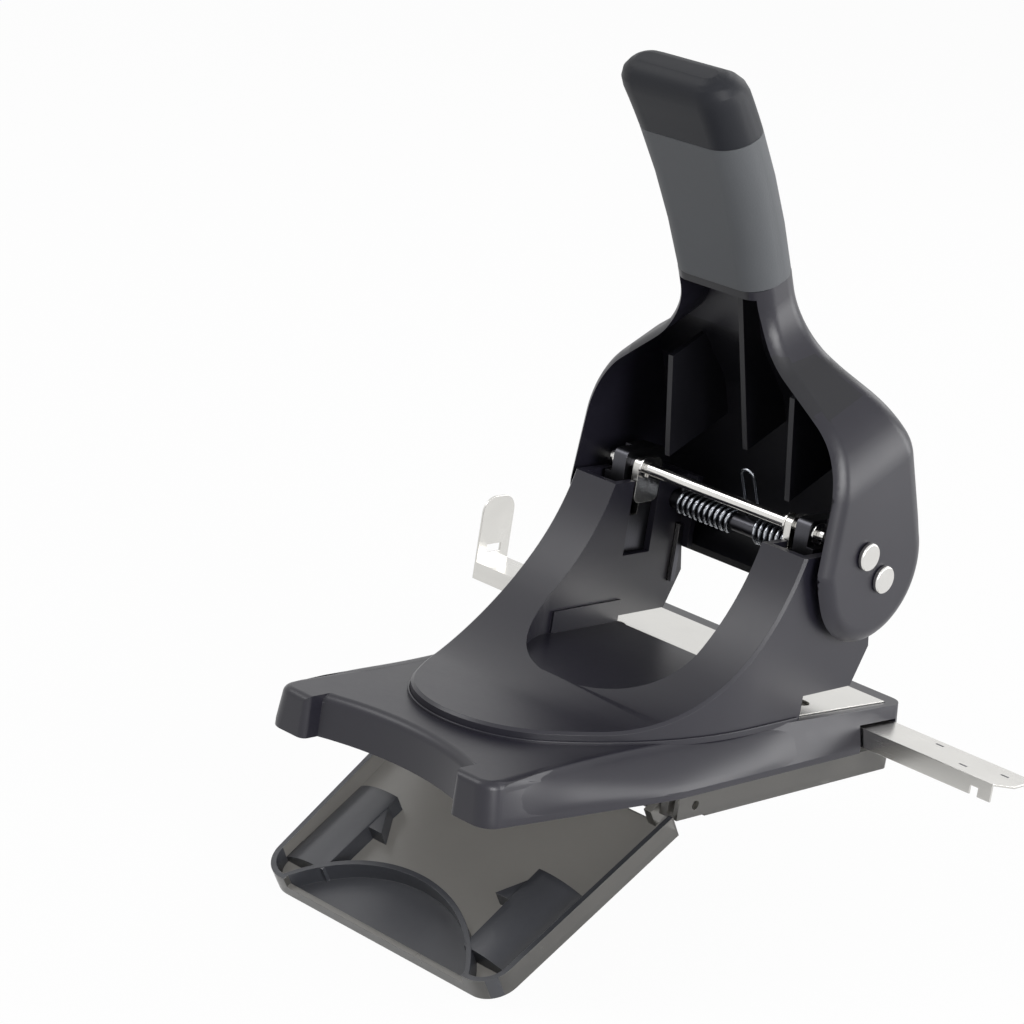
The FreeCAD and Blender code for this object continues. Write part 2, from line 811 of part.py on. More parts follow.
def on_arm_rim(bounds, edge):
    """True for the outer edge that runs round the apron and up both arms."""
    spot = edge.valueAt((edge.FirstParameter + edge.LastParameter) / 2)
    if spot.z < apron_z.number - 0.1 or spot.z > S.arm_top_z.number - 0.1 or spot.y > 0:
        return False
    gap_front_y = S.gap_nose_y.number - S.gap_nose_depth.number
    if abs(spot.x) < gap_half.number + 0.1 and spot.y > gap_front_y - 0.1:
        return False
    if spot.y < S.arm_arc_y.number:
        return near(spot.z, apron_z)
    return near(spot.z, arc_z(S.arm_arc_radius, spot.y))


def frame_side():
    """A side plate: spine behind the stop, arm over the throat, seat for the pivot."""
    radius = S.arm_arc_radius + S.wall + S.frame_gap
    front_y = S.frame_front_y
    rear_y = frame_rear_y
    low_z = ceiling_z + S.wall + S.sheet_gap
    top_z = S.arm_top_z - S.frame_gap * 2
    slot_low_z = S.rod_z - stroke - S.rod_radius - S.slot_gap
    slot_half = S.rod_radius + S.slot_gap
    heel_y = S.yoke_heel_y - S.wall - S.sheet_gap
    return [(front_y, frame_z), (spine_rear_y - S.sheet_gap, frame_z),
            (spine_rear_y - S.sheet_gap, low_z), (heel_y, low_z),
            (rear_y, low_z + S.heel_rise), (rear_y, top_z),
            (S.rod_y + slot_half, top_z), (S.rod_y + slot_half, slot_low_z),
            (S.rod_y - slot_half, slot_low_z), (S.rod_y - slot_half, top_z),
            (arc_y(radius, top_z), top_z), Bend(radius, False), (front_y, arc_z(radius, front_y))]


def make_frame():
    body = new_body("steel_frame")
    ear_x = punch_x + S.die_rim
    ear_y = punch_y - S.die_rim
    half = S.frame_half_width
    outline = [(-half, S.frame_front_y), (half, S.frame_front_y), (half, ear_y), (ear_x, ear_y),
               (ear_x, S.frame_rear_y), (-ear_x, S.frame_rear_y), (-ear_x, ear_y), (-half, ear_y)]
    pad(body, "XY", frame_z, die_z, outline)
    outer_x = S.frame_side_x + S.frame_side_thick
    for side in (-1, 1):
        low, high = sorted((S.frame_side_x * side, outer_x * side), key=lambda size: size.number)
        pad(body, "YZ", low, high, frame_side())
        lip = sorted(((S.frame_side_x - S.lip_reach) * side, outer_x * side),
                     key=lambda size: size.number)
        pad(body, "XY", flange_z + S.heel_rise, S.lip_top_z,
            box_loop(lip[0], frame_rear_y - S.frame_side_thick, lip[1], frame_rear_y))
        shelf = sorted((S.frame_side_x * side, (arm_outer_x - S.sheet_gap) * side),
                       key=lambda size: size.number)
        pad(body, "XY", flange_z, flange_z + S.frame_side_thick,
            box_loop(shelf[0], punch_y - S.shelf_half, shelf[1], punch_y + S.shelf_half))
    pocket(body, "XY", flange_z, flange_z + S.frame_side_thick,
           *punch_holes(bush_radius + S.running_gap))
    pocket(body, "XY", frame_z, die_z, *punch_holes(S.punch_radius + S.chip_clearance))
    pocket(body, "YZ", -THROUGH, THROUGH, (S.pivot_y, S.pivot_z, S.pivot_radius + S.running_gap))
    for x, y in FRAME_SCREWS:
        pocket(body, "XY", frame_z, die_z, (x, y, S.frame_screw_radius + S.sheet_gap))
    return body


def turned(name, profile, x=0.0, y=0.0, z=0.0):
    """A piece turned about X from a half profile of (along, radius) corners, then placed."""
    body = new_body(name)
    sketch = new_sketch(body, "XY", NO_SIZE)
    draw(sketch, [profile])
    feature = body.newObject("PartDesign::Revolution", "Revolution")
    feature.Profile = sketch
    axis = next(item for item in body.Origin.OriginFeatures if item.Role == "X_Axis")
    feature.ReferenceAxis = (axis, [""])
    place(body, x, y, z)
    return body


def head_profile(start, end, radius, head, thick, both):
    """Half profile of a pin from start to end, with a chamfered head at one end or both."""
    trim = S.head_chamfer
    left = [(start, NO_SIZE), (end, NO_SIZE), (end, head - trim), (end - trim, head),
            (end - thick, head), (end - thick, radius)]
    if both:
        return left + [(start + thick, radius), (start + thick, head), (start + trim, head),
                       (start, head - trim)]
    return left + [(start, radius)]


def make_pivot_shaft():
    reach = S.cheek_half_width + S.sheet_gap + S.head_thick
    return turned("pivot_shaft", head_profile(-reach, reach, S.pivot_radius, S.head_radius,
                                              S.head_thick, True), 0, S.pivot_y, S.pivot_z)


def make_bush(name, side):
    """A steel bush that guides a punch above the throat."""
    body = new_body(name)
    pad(body, "XY", ceiling_z + S.sheet_gap, S.bush_top_z, (NO_SIZE, NO_SIZE, bush_radius))
    collar_z = flange_z + S.frame_side_thick
    reach = bush_radius + S.frame_side_thick
    pad(body, "XY", collar_z, collar_z + S.wall,
        box_loop(-bush_radius * side, -reach, reach * side, reach))
    pocket(body, "XY", ceiling_z, S.bush_top_z, (NO_SIZE, NO_SIZE, punch_bore))
    place(body, punch_x * side, punch_y, 0)
    return body


# ---------------------------------------------------------------- crosshead

def make_punch(name, side):
    """A punch pin: its end is notched so that the two tips cut first."""
    body = new_body(name)
    pad(body, "XY", S.punch_rest_z, punch_top_z, (NO_SIZE, NO_SIZE, S.punch_radius))
    half = S.punch_radius + S.running_gap
    pocket(body, "YZ", -half, half,
           [(-half, S.punch_rest_z - S.punch_vee_depth), (half, S.punch_rest_z - S.punch_vee_depth),
            (half, S.punch_rest_z), (NO_SIZE, S.punch_rest_z + S.punch_vee_depth),
            (-half, S.punch_rest_z)])
    place(body, punch_x * side, punch_y, 0)
    return body


def make_carrier(name, side):
    """Carries one punch; the drive pin slides along its slot while the lever turns."""
    body = new_body(name)
    inner_x = S.frame_side_x + S.frame_side_thick + S.sheet_gap
    outer_x = inner_x + S.carrier_width
    low, high = sorted((inner_x * side, outer_x * side), key=lambda size: size.number)
    front_y = S.rod_y - S.carrier_reach
    rear_y = drive_y + S.drive_radius + S.carrier_reach
    pad(body, "YZ", low, high,
        [(front_y, S.carrier_bottom_z, S.head_thick), (rear_y, S.carrier_bottom_z, S.head_thick),
         (rear_y, S.carrier_top_z, S.drive_radius), (front_y, S.carrier_top_z, S.drive_radius)])
    pocket(body, "YZ", low, high, (S.rod_y, S.rod_z, S.rod_radius + S.running_gap))
    slot_z = drive_z + S.drive_lift
    slot_half = S.drive_radius + S.drive_lift + S.sheet_gap
    slot_front = drive_front_y - S.drive_radius - S.sheet_gap
    slot_rear = drive_y + S.drive_radius + S.sheet_gap
    pocket(body, "YZ", low, high,
           box_loop(slot_front, slot_z - slot_half, slot_rear, slot_z + slot_half,
                    S.drive_radius - S.sheet_gap))
    pocket(body, "XY", S.carrier_bottom_z, punch_top_z,
           (punch_x * side, punch_y, S.punch_radius + S.running_gap))
    notch = sorted(((S.clip_x - S.sheet_gap) * side, (outer_x + S.wall) * side),
                   key=lambda size: size.number)
    pocket(body, "YZ", notch[0], notch[1],
           box_loop(front_y - S.wall, S.rod_z - S.clip_radius - S.sheet_gap,
                    S.rod_y + S.clip_radius + S.sheet_gap, S.carrier_top_z + S.wall))
    return body


def make_rod():
    end, trim, radius = S.rod_half_length, S.rod_chamfer, S.rod_radius
    return turned("cross_rod", [(-end, NO_SIZE), (end, NO_SIZE), (end, radius - trim),
                                (end - trim, radius), (trim - end, radius),
                                (-end, radius - trim)], 0, S.rod_y, S.rod_z)


def make_clips():
    """Four spring clips on the rod: one on each side of each lug and carrier."""
    clips = []
    for side in (-1, 1):
        for name, inner_x in (("Outer", S.clip_x), ("Inner", lug_inner_x - S.clip_thick - S.running_gap)):
            body = new_body(f"Clip{name}{'Left' if side < 0 else 'Right'}")
            low, high = sorted((inner_x * side, (inner_x + S.clip_thick) * side),
                               key=lambda size: size.number)
            radius = S.clip_radius
            pad(body, "YZ", low, high, (S.rod_y, S.rod_z, radius))
            bore = S.rod_radius + S.running_gap
            pocket(body, "YZ", low, high, (S.rod_y, S.rod_z, bore))
            pocket(body, "YZ", low, high,
                   box_loop(S.rod_y - S.rod_radius / 2, S.rod_z - radius * 2,
                            S.rod_y + S.rod_radius / 2, S.rod_z))
            clips.append(body)
    return group("rod_clips", *clips)


def make_lugs():
    """Steel lugs that ride in the slots of the arms' inner walls and keep the rod level."""
    lugs = []
    for side in (-1, 1):
        body = new_body("LugLeft" if side < 0 else "LugRight")
        low, high = sorted((lug_inner_x * side, (lug_inner_x + S.lug_thick) * side),
                           key=lambda size: size.number)
        corner = S.drive_radius
        pad(body, "YZ", low, high, box_loop(lug_front_y, S.lug_bottom_z, lug_rear_y,
                                            S.lug_top_z, corner))
        pocket(body, "YZ", low, high, (S.rod_y, S.rod_z, S.rod_radius + S.running_gap))
        lugs.append(body)
    return group("guide_lugs", *lugs)


# ---------------------------------------------------------------- lever

def lever_side():
    """The lever from the side: round cheek, sloping front and back, then the neck."""
    disc = S.disc_radius
    top = S.neck_along + S.lever_wall
    centre, level = S.disc_across, S.disc_along
    return [(centre, level - disc), Bend(disc), (centre + disc, level),
            (S.back_across, S.back_along, S.side_blend), (S.neck_back_across, neck_back_along,
            S.side_blend), (S.neck_back_across, top), (S.neck_front_across, top),
            (S.neck_front_across, front_top_along, S.side_blend * 2),
            (S.front_mid_across, S.front_mid_along, S.side_blend * 2),
            (centre - disc, level + S.front_rise, S.side_blend / 2),
            (centre - disc, level), Bend(disc)]


def lever_room():
    """The room between the cheeks and inside the back wall, open to the front."""
    disc = S.disc_radius - S.lever_wall
    wall = S.lever_wall
    centre, level = S.disc_across, S.disc_along
    end_rise = root(disc * disc - (S.wall_end_across - centre) * (S.wall_end_across - centre))
    out = S.disc_radius * 2
    return [(S.wall_end_across, level - out), (S.wall_end_across, level - end_rise), Bend(disc),
            (centre + disc, level), (S.back_across - wall, S.back_along, S.side_blend),
            (S.neck_back_across - wall, neck_back_along, S.side_blend),
            (S.neck_back_across - wall, S.neck_along), (-out, S.neck_along), (-out, level - out)]


def lever_front(inset):
    """Half widths of the lever, seen from the front, from the cheeks up to the neck."""
    top = S.neck_along + S.lever_wall * 2
    low = -S.disc_radius * 2
    right = [(S.cheek_half_width - inset, low), (S.cheek_half_width - inset, S.cheek_straight),
             (S.cheek_top_half - inset, S.shoulder_low, S.shoulder_radius - inset),
             (S.neck_half_width - inset, shoulder_high, S.neck_radius + inset),
             (S.neck_half_width - inset, top)]
    return [*right, *reversed(mirrored(right))]


def tilted(item):
    place(item, 0, S.pivot_y, S.pivot_z, (1, 0, 0), S.lever_tilt)
    return item


def trim_width(body, inset):
    far = S.base_half_width * 2
    low = -S.disc_radius * 3
    high = S.neck_along + S.lever_wall * 3
    pocket(body, "XZ", low, -low, box_loop(-far, low, far, high), lever_front(inset))


def make_lever_shell():
    outside = new_body("LeverOutside")
    pad(outside, "YZ", -S.cheek_half_width, S.cheek_half_width, lever_side())
    trim_width(outside, NO_SIZE)
    trim_edges(outside, "Fillet", S.back_round, on_lever_back)
    pad(outside, "XY", S.neck_along, S.core_end,
        box_loop(-S.core_half_width, S.core_front, S.core_half_width, S.core_back))
    room = new_body("LeverRoom")
    pad(room, "YZ", -cheek_inner_x, cheek_inner_x, lever_room())
    trim_width(room, S.lever_wall)
    hollow = cut("LeverHollow", outside, room)
    ribs = [hollow]
    half = S.rib_thick / 2
    for name, x in (("RibLeft", -S.rib_x), ("RibRight", S.rib_x)):
        ribs.append(make_rib(name, x - half, x + half, S.rib_low, S.rib_front_across,
                             front_top_along - S.rib_low))
    ribs.append(make_rib("RibMiddle", -half, half, S.middle_rib_low, S.middle_rib_across,
                         S.neck_along))
    for name, low, high in (("BossLeft", -cheek_inner_x - half, -boss_face_x),
                            ("BossRight", boss_face_x, cheek_inner_x + half)):
        ribs.append(rod(name, S.boss_radius, low, high))
    filled = fuse("LeverFilled", *ribs)
    bores = fuse("LeverBores", rod("PivotBore", S.pivot_radius + S.running_gap, -THROUGH, THROUGH),
                 rod("DriveBore", S.drive_radius + S.running_gap, -THROUGH, THROUGH,
                     y=drive_across, z=drive_along))
    return tilted(cut("lever_shell", filled, bores))


def make_rib(name, low, high, low_along, front_across, high_along):
    """A web inside the back wall; its front edge leans with the lever's own front."""
    body = new_body(name)
    back = S.neck_back_across - S.lever_wall / 2
    foot = S.back_across - S.lever_wall / 2
    pad(body, "YZ", low, high,
        [(front_across, low_along), (foot, low_along), (foot, S.back_along),
         (back, neck_back_along), (back, high_along),
         (front_across + S.rib_lean, high_along)])
    return body


def on_lever_back(bounds, edge):
    """True for the two long edges where the lever's back meets its sides."""
    spot = edge.valueAt((edge.FirstParameter + edge.LastParameter) / 2)
    flat_end = near(bounds.ZMin, bounds.ZMax, 0.01)
    across = bounds.XMax - bounds.XMin > S.neck_half_width.number * 1.5
    return spot.y > S.disc_across.number + S.wall_end_across.number and not flat_end and not across


def handle_centre(along):
    """How far the handle's middle line lies across, at a distance along the lever."""
    reach = as_size(along) - S.neck_along
    sag = S.handle_bend - root(S.handle_bend * S.handle_bend - reach * reach)
    return (S.neck_front_across + S.neck_back_across) / 2 - sag


def handle_section(along, inset):
    share = (as_size(along) - S.neck_along) / (S.handle_end - S.neck_along)
    half = S.neck_half_width + (S.handle_end_half - S.neck_half_width) * share - inset
    thick = (S.neck_back_across - S.neck_front_across) / 2 - S.handle_slim * share - inset
    middle = handle_centre(along)
    return box_loop(-half, middle - thick, half, middle + thick, S.handle_round - inset)


def make_grip(name, low, high, dome=NO_SIZE):
    """A length of the handle, hollow for the lever's core; a dome rounds its end off."""
    body = new_body(name)
    length = high - dome - low
    stations = [low + length * share / 3 for share in range(4)]
    loft(body, "AdditiveLoft", "XY",
         [(along, handle_section(along, -S.sleeve_proud)) for along in stations], ruled=True)
    if dome.number > 0:
        turns = [as_size(angle) for angle in (0, 20, 40, 60, 78)]
        loft(body, "AdditiveLoft", "XY",
             [(high - dome + dome * sine(turn),
               handle_section(high - dome + dome * sine(turn),
                              dome - dome * cosine(turn) - S.sleeve_proud)) for turn in turns],
             ruled=True)
    gap = S.running_gap
    pocket(body, "XY", as_size(low) - gap, S.core_end + gap,
           box_loop(-S.core_half_width - gap, S.core_front - gap,
                    S.core_half_width + gap, S.core_back + gap))
    return tilted(body)


def make_drive_pins():
    """Two headed pins through the cheeks; each reaches into the slot of a carrier."""
    pins = []
    outer_x = S.cheek_half_width + S.sheet_gap + S.head_thick
    inner_x = S.frame_side_x + S.frame_side_thick + S.sheet_gap * 2
    for side in (-1, 1):
        profile = head_profile(inner_x, outer_x, S.drive_radius, S.head_radius, S.head_thick, False)
        if side < 0:
            profile = mirrored(profile)
        pins.append(turned("DriveLeft" if side < 0 else "DriveRight", profile, 0, drive_y, drive_z))
    return group("drive_pins", *pins)


# ---------------------------------------------------------------- springs

def make_return_spring():
    """The two coils round the pivot, each drawn as a tube as thick as its wire."""
    bore = S.coil_radius - S.wire_radius
    outer = S.coil_radius + S.wire_radius
    coils = []
    for side in (-1, 1):
        low, high = S.coil_inner_x, S.coil_outer_x
        profile = [(low, bore), (high, bore), (high, outer), (low, outer)]
        if side < 0:
            profile = mirrored(profile)
        coils.append(turned("CoilLeft" if side < 0 else "CoilRight", profile, 0,
                            S.pivot_y, S.pivot_z))
    return group("return_spring", *coils)


def make_spring_loop():
    """The bridge between the coils: it bears on the lever's middle rib."""
    body = new_body("spring_loop")
    radius = S.wire_radius
    outer = S.loop_half_width + radius
    inner = S.loop_half_width - radius
    top = S.loop_height
    pad(body, "XZ", S.coil_radius - radius, S.coil_radius + radius,
        [(-outer, top), (-outer, radius), (-inner, radius), (-inner, top), Bend(inner, False),
         (NO_SIZE, top + inner), Bend(inner, False), (inner, top), (inner, radius),
         (outer, radius), (outer, top), Bend(outer), (NO_SIZE, top + outer), Bend(outer)])
    return tilted(body)


# ---------------------------------------------------------------- paper guide

def make_paper_guide():
    """A folded steel rule that slides sideways; its raised end stops the paper's edge."""
    body = new_body("paper_guide")
    thick = S.guide_thick
    front, rear, top = S.guide_front_y, S.guide_rear_y, S.guide_top_z
    left, right = S.guide_left_x, S.guide_right_x
    pad(body, "XY", top - thick, top,
        [(left, front), (right - S.guide_taper, front), (right, front + S.guide_taper),
         (right, rear), (left, rear)])
    pad(body, "XY", top - S.guide_flange, top,
        box_loop(left, front, right - S.guide_taper, front + thick))
    pad(body, "YZ", left, left + thick,
        [(front, top - thick), (rear, top - thick),
         (rear, S.guide_tab_top_z, S.guide_tab_round), (front, S.guide_tab_top_z, S.guide_tab_round)])
    middle = (front + rear) / 2
    pocket(body, "YZ", left, left + thick,
           box_loop(middle - S.guide_slot_half, top + S.guide_tab_slot,
                    middle + S.guide_slot_half, top + S.guide_tab_slot * 2))
    notch_x = right - S.guide_taper * 2 - S.guide_tab_slot
    pocket(body, "XZ", front - thick, front + thick,
           box_loop(notch_x, top - S.guide_flange - thick, notch_x + S.guide_tab_slot,
                    top - S.guide_flange + S.guide_tab_slot))
    return body


def make_guide_spring():
    """A bowed steel strip that keeps the guide from sliding by itself."""
    body = new_body("guide_spring")
    thick = S.guide_thick / 2
    roof_z = S.base_top_z - S.wall
    low_z = S.guide_top_z + S.sheet_gap
    half = S.guide_spring_half
    outer = arc_rise(half, roof_z - low_z - thick)
    pad(body, "XZ", S.guide_front_y + S.guide_thick * 3, S.guide_rear_y - S.guide_thick * 3,
        [(-half, roof_z - thick), Bend(outer), (half, roof_z - thick), (half, roof_z),
         Bend(outer, False), (-half, roof_z)])
    return body


# ---------------------------------------------------------------- rear cover and chip tray

def make_rear_cover():
    """The fixed half of the underside; the chip tray hangs on its front edge."""
    body = new_body("rear_cover")
    wall = S.cover_wall
    rear_y = S.base_rear_y - S.cover_inset
    front_y = S.cover_front_y
    corner = S.rear_radius - S.cover_inset
    half = cover_half
    pad(body, "XY", NO_SIZE, S.cover_height,
        [(-half, front_y), (half, front_y), (half, rear_y, corner), (-half, rear_y, corner)])
    inner = half - wall
    pocket(body, "XY", wall, S.cover_height,
           [(-inner, front_y - wall), (inner, front_y - wall), (inner, rear_y - wall, corner - wall),
            (-inner, rear_y - wall, corner - wall)])
    for side in (-1, 1):
        low, high = sorted((S.tray_lug_x * side, (S.tray_lug_x + S.tray_lug_thick) * side),
                           key=lambda size: size.number)
        gap = S.sheet_gap * 2
        pad(body, "XY", wall, S.cover_height,
            box_loop(low - S.tray_lug_thick - gap, front_y, high + S.tray_lug_thick + gap,
                     lug_slot_rear_y))
        pocket(body, "XY", NO_SIZE, S.cover_height,
               box_loop(low - gap, front_y - wall, high + gap, lug_slot_rear_y))
        post = sorted(((punch_x + S.post_inset) * side, (inner - S.sheet_gap) * side),
                      key=lambda size: size.number)
        pad(body, "XY", wall, S.guide_top_z - S.guide_thick - S.running_gap * 2,
            box_loop(post[0], S.guide_front_y + S.guide_thick * 3, post[1],
                     S.guide_rear_y - S.guide_thick * 3))
    pocket(body, "YZ", -half, half, (S.tray_pivot_y, S.tray_pivot_z, tray_bore))
    pocket(body, "XY", NO_SIZE, S.hinge_relief,
           box_loop(-half, front_y, half, lug_slot_rear_y + S.sheet_gap))
    for x, y in COVER_SCREWS:
        pocket(body, "XY", NO_SIZE, screw_head_z, (x, y, S.cover_screw_head + S.sheet_gap))
        pocket(body, "XY", NO_SIZE, wall, (x, y, S.cover_screw_radius + S.running_gap))
    return body


def make_chip_tray():
    """The hinged half of the underside, drawn shut: it catches the chips."""
    body = new_body("chip_tray")
    wall = S.tray_wall
    rear_y = S.cover_front_y - S.tray_rear_gap
    half, front_half, front_y = cover_half, S.tray_front_half, S.tray_front_y
    corner = S.tray_corner_radius
    height = S.tray_height
    pad(body, "XY", NO_SIZE, height, [(-half, rear_y), (half, rear_y), (front_half, front_y, corner),
                                      (-front_half, front_y, corner)])
    pocket(body, "XY", wall, height,
           [(wall - half, rear_y + wall), (half - wall, rear_y + wall),
            (front_half - wall, front_y + wall, corner - wall),
            (wall - front_half, front_y + wall, corner - wall)])
    lip_z = height * S.lip_share
    scoop_x = S.scoop_half_width
    pocket(body, "XY", lip_z, height,
           box_loop(-scoop_x, front_y - wall, scoop_x, front_y + wall))
    depth = S.scoop_back_y - front_y - wall
    inner = arc_rise(scoop_x, depth)
    outer = arc_rise(scoop_x + wall, depth + wall)
    pad(body, "XY", NO_SIZE, height,
        [(-scoop_x - wall, front_y + wall), (-scoop_x, front_y + wall), Bend(inner, False),
         (scoop_x, front_y + wall), (scoop_x + wall, front_y + wall), Bend(outer)])
    for side in (-1, 1):
        block = [(S.block_inner_x, wall / 2), (S.block_outer_x, wall / 2),
                 (S.block_outer_x, S.block_low_z), Bend(S.block_round),
                 (S.block_inner_x, S.block_top_z)]
        pad(body, "XZ", S.block_front_y, S.block_rear_y, block if side > 0 else mirrored(block))
        inside_x = S.block_inner_x + wall
        gusset = [(inside_x, S.block_rear_y - wall), (S.gusset_x, S.block_rear_y - S.gusset_run),
                  (inside_x, S.block_rear_y - S.gusset_run)]
        pad(body, "XY", wall / 2, S.block_top_z - S.gusset_drop,
            gusset if side > 0 else mirrored(gusset))
        low, high = sorted((S.tray_lug_x * side, (S.tray_lug_x + S.tray_lug_thick) * side),
                           key=lambda size: size.number)
        reach = S.tray_lug_radius
        back_y = rear_y - wall
        pad(body, "YZ", low, high,
            [(back_y, NO_SIZE), (S.tray_pivot_y, S.tray_pivot_z - reach), Bend(reach),
             (S.tray_pivot_y + reach, S.tray_pivot_z), Bend(reach),
             (S.tray_pivot_y, S.tray_pivot_z + reach), (back_y, height)])
    pocket(body, "YZ", -half, half, (S.tray_pivot_y, S.tray_pivot_z, tray_bore))
    angle = S.tray_open_angle
    away_y = S.tray_pivot_y - (S.tray_pivot_y * cosine(angle) - S.tray_pivot_z * sine(angle))
    away_z = S.tray_pivot_z - (S.tray_pivot_y * sine(angle) + S.tray_pivot_z * cosine(angle))
    place(body, 0, away_y, away_z, (1, 0, 0), angle)
    return body


def make_tray_pins():
    reach = S.tray_lug_thick + S.sheet_gap
    pins = [rod("TrayPin", S.tray_pin_radius, low, low + S.tray_lug_thick * 2 + reach,
                y=S.tray_pivot_y, z=S.tray_pivot_z)
            for low in (S.tray_lug_x - reach, -(S.tray_lug_x + S.tray_lug_thick * 2))]
    return group("tray_hinge_pins", *pins)


# ---------------------------------------------------------------- screws

def make_screws(name, spots, radius, head, head_low, head_high, top):
    screws = []
    for x, y in spots:
        screws.append(fuse(f"{name}_one", rod("Shank", radius, head_high, top, x, y, along="Z"),
                           rod("Head", head, head_low, head_high, x, y, along="Z")))
    return group(name, *screws)


def build_model():
    parts = [make_base_shell(), make_yoke(), make_frame(), make_table(), make_die_plate(),
             make_pivot_shaft(), make_rear_cover(), make_tray_pins(), make_guide_spring(),
             make_return_spring()]
    for word, side in (("left", -1), ("right", 1)):
        parts.append(make_bush("punch_guide_" + word, side))
        parts.append(make_punch("punch_pin_" + word, side))
        parts.append(make_carrier("punch_carrier_" + word, side))
    parts.append(make_screws("cover_screws", COVER_SCREWS, S.cover_screw_radius,
                             S.cover_screw_head, S.sheet_gap / 2, screw_head_z, frame_z))
    parts.append(make_screws("frame_screws", FRAME_SCREWS, S.frame_screw_radius,
                             S.frame_screw_head, frame_z - S.head_thick, frame_z,
                             frame_screw_top_z))
    parts += [make_rod(), make_clips(), make_lugs(), make_lever_shell(), make_drive_pins(),
              make_grip("grip_sleeve", S.neck_along + S.lever_wall, S.sleeve_end),
              make_grip("grip_tip", S.sleeve_end, S.handle_end, S.end_round),
              make_spring_loop(), make_paper_guide(), make_chip_tray()]
    return parts


def check_model(parts):
    for item in doc.Objects:
        if "Invalid" in item.State or "Error" in item.State:
            raise RuntimeError(f"{item.Label} failed: {item.State}")
        if item.TypeId == "PartDesign::Pocket":
            if item.Shape.Volume >= item.BaseFeature.Shape.Volume:
                raise RuntimeError(f"{item.Label} cuts nothing")
    for part in parts:
        if part.Shape.isNull() or not part.Shape.isValid() or not part.Shape.Solids:
            raise RuntimeError(f"{part.Label} has no valid solid")


model = build_model()
doc.recompute()
check_model(model)
os.makedirs("parts", exist_ok=True)
for part in model:
    part.Shape.exportStep(f"parts/{part.Label}.step")
    print(f"{part.Label}: {len(part.Shape.Solids)} solid(s), {part.Shape.Volume:.0f} mm3")
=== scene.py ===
import math

import bmesh
import bpy
from mathutils import Matrix, Vector
from mathutils.bvhtree import BVHTree


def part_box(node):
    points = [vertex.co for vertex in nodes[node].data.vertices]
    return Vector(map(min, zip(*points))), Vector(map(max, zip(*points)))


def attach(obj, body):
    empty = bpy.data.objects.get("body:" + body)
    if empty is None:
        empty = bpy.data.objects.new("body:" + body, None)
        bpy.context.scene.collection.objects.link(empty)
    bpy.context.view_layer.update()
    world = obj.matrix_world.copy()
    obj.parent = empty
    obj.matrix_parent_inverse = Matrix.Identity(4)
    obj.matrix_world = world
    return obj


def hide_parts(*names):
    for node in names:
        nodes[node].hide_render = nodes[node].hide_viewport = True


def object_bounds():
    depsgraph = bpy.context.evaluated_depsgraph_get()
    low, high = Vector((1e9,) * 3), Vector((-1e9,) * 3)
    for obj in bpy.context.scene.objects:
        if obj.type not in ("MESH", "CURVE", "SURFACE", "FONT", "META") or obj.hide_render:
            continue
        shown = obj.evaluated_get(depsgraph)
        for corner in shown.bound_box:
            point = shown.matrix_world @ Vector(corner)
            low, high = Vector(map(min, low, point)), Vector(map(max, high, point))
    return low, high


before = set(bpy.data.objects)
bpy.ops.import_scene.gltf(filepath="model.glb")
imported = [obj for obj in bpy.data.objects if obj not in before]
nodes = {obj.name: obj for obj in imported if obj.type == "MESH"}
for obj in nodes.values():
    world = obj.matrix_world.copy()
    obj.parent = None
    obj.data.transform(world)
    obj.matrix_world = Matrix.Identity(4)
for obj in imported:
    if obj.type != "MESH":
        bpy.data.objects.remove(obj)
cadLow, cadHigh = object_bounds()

mm = 0.001
print("frame loaded:", len(nodes), "nodes")


# shader tools: a socket that does sums, and one way to add any other node

class Signal:
    def __init__(self, finish, socket):
        self.finish = finish
        self.socket = socket

    def __add__(self, other):
        return self.finish.maths("ADD", self, other)

    def __radd__(self, other):
        return self.finish.maths("ADD", other, self)

    def __mul__(self, other):
        return self.finish.maths("MULTIPLY", self, other)

    def __rmul__(self, other):
        return self.finish.maths("MULTIPLY", other, self)


class Finish:
    def __init__(self, owner):    # a material or the world
        self.owner = owner
        owner.use_nodes = True
        self.tree = owner.node_tree
        self.tree.nodes.clear()

    def add(self, kind, settings=(), sockets=(), output=0):
        node = self.tree.nodes.new(kind)
        for key, value in dict(settings).items():
            setattr(node, key, value)
        for key, value in dict(sockets).items():
            if isinstance(value, Signal):
                self.tree.links.new(value.socket, node.inputs[key])
            else:
                node.inputs[key].default_value = value
        if len(node.outputs):
            return Signal(self, node.outputs[output])

    def maths(self, operation, first, second):
        return self.add("ShaderNodeMath", {"operation": operation}, {0: first, 1: second})

    def place(self):
        return self.add("ShaderNodeTexCoord", output="Object")

    def noise(self, vector, scale, detail=2.0, roughness=0.5):
        return self.add("ShaderNodeTexNoise", {}, {"Vector": vector, "Scale": scale,
                                                   "Detail": detail, "Roughness": roughness})

    def blend(self, share, dark, light):    # 6, 7 and output 2 are the Mix node's colours
        return self.add("ShaderNodeMix", {"data_type": "RGBA"},
                        {0: share, 6: (*dark, 1), 7: (*light, 1)}, output=2)

    def bump(self, height, depth):
        return self.add("ShaderNodeBump", {}, {"Height": height, "Distance": depth * mm,
                                               "Strength": 1.0})

    def close(self, sockets):
        shader = self.add("ShaderNodeBsdfPrincipled", {}, sockets)
        self.add("ShaderNodeOutputMaterial", {}, {0: shader})
        return self.owner

    def seen(self):    # 1 for what the camera sees, straight, by gloss or through clear plastic
        straight, glossy, through = [self.add("ShaderNodeLightPath", output=f"Is {kind} Ray")
                                     for kind in ("Camera", "Glossy", "Transmission")]
        return self.maths("MAXIMUM", self.maths("MAXIMUM", straight, glossy), through)


def between(low, high, share):
    return low + (high - low) * share


def mixed(first, second, share):
    return first * share + second * (1 - share)


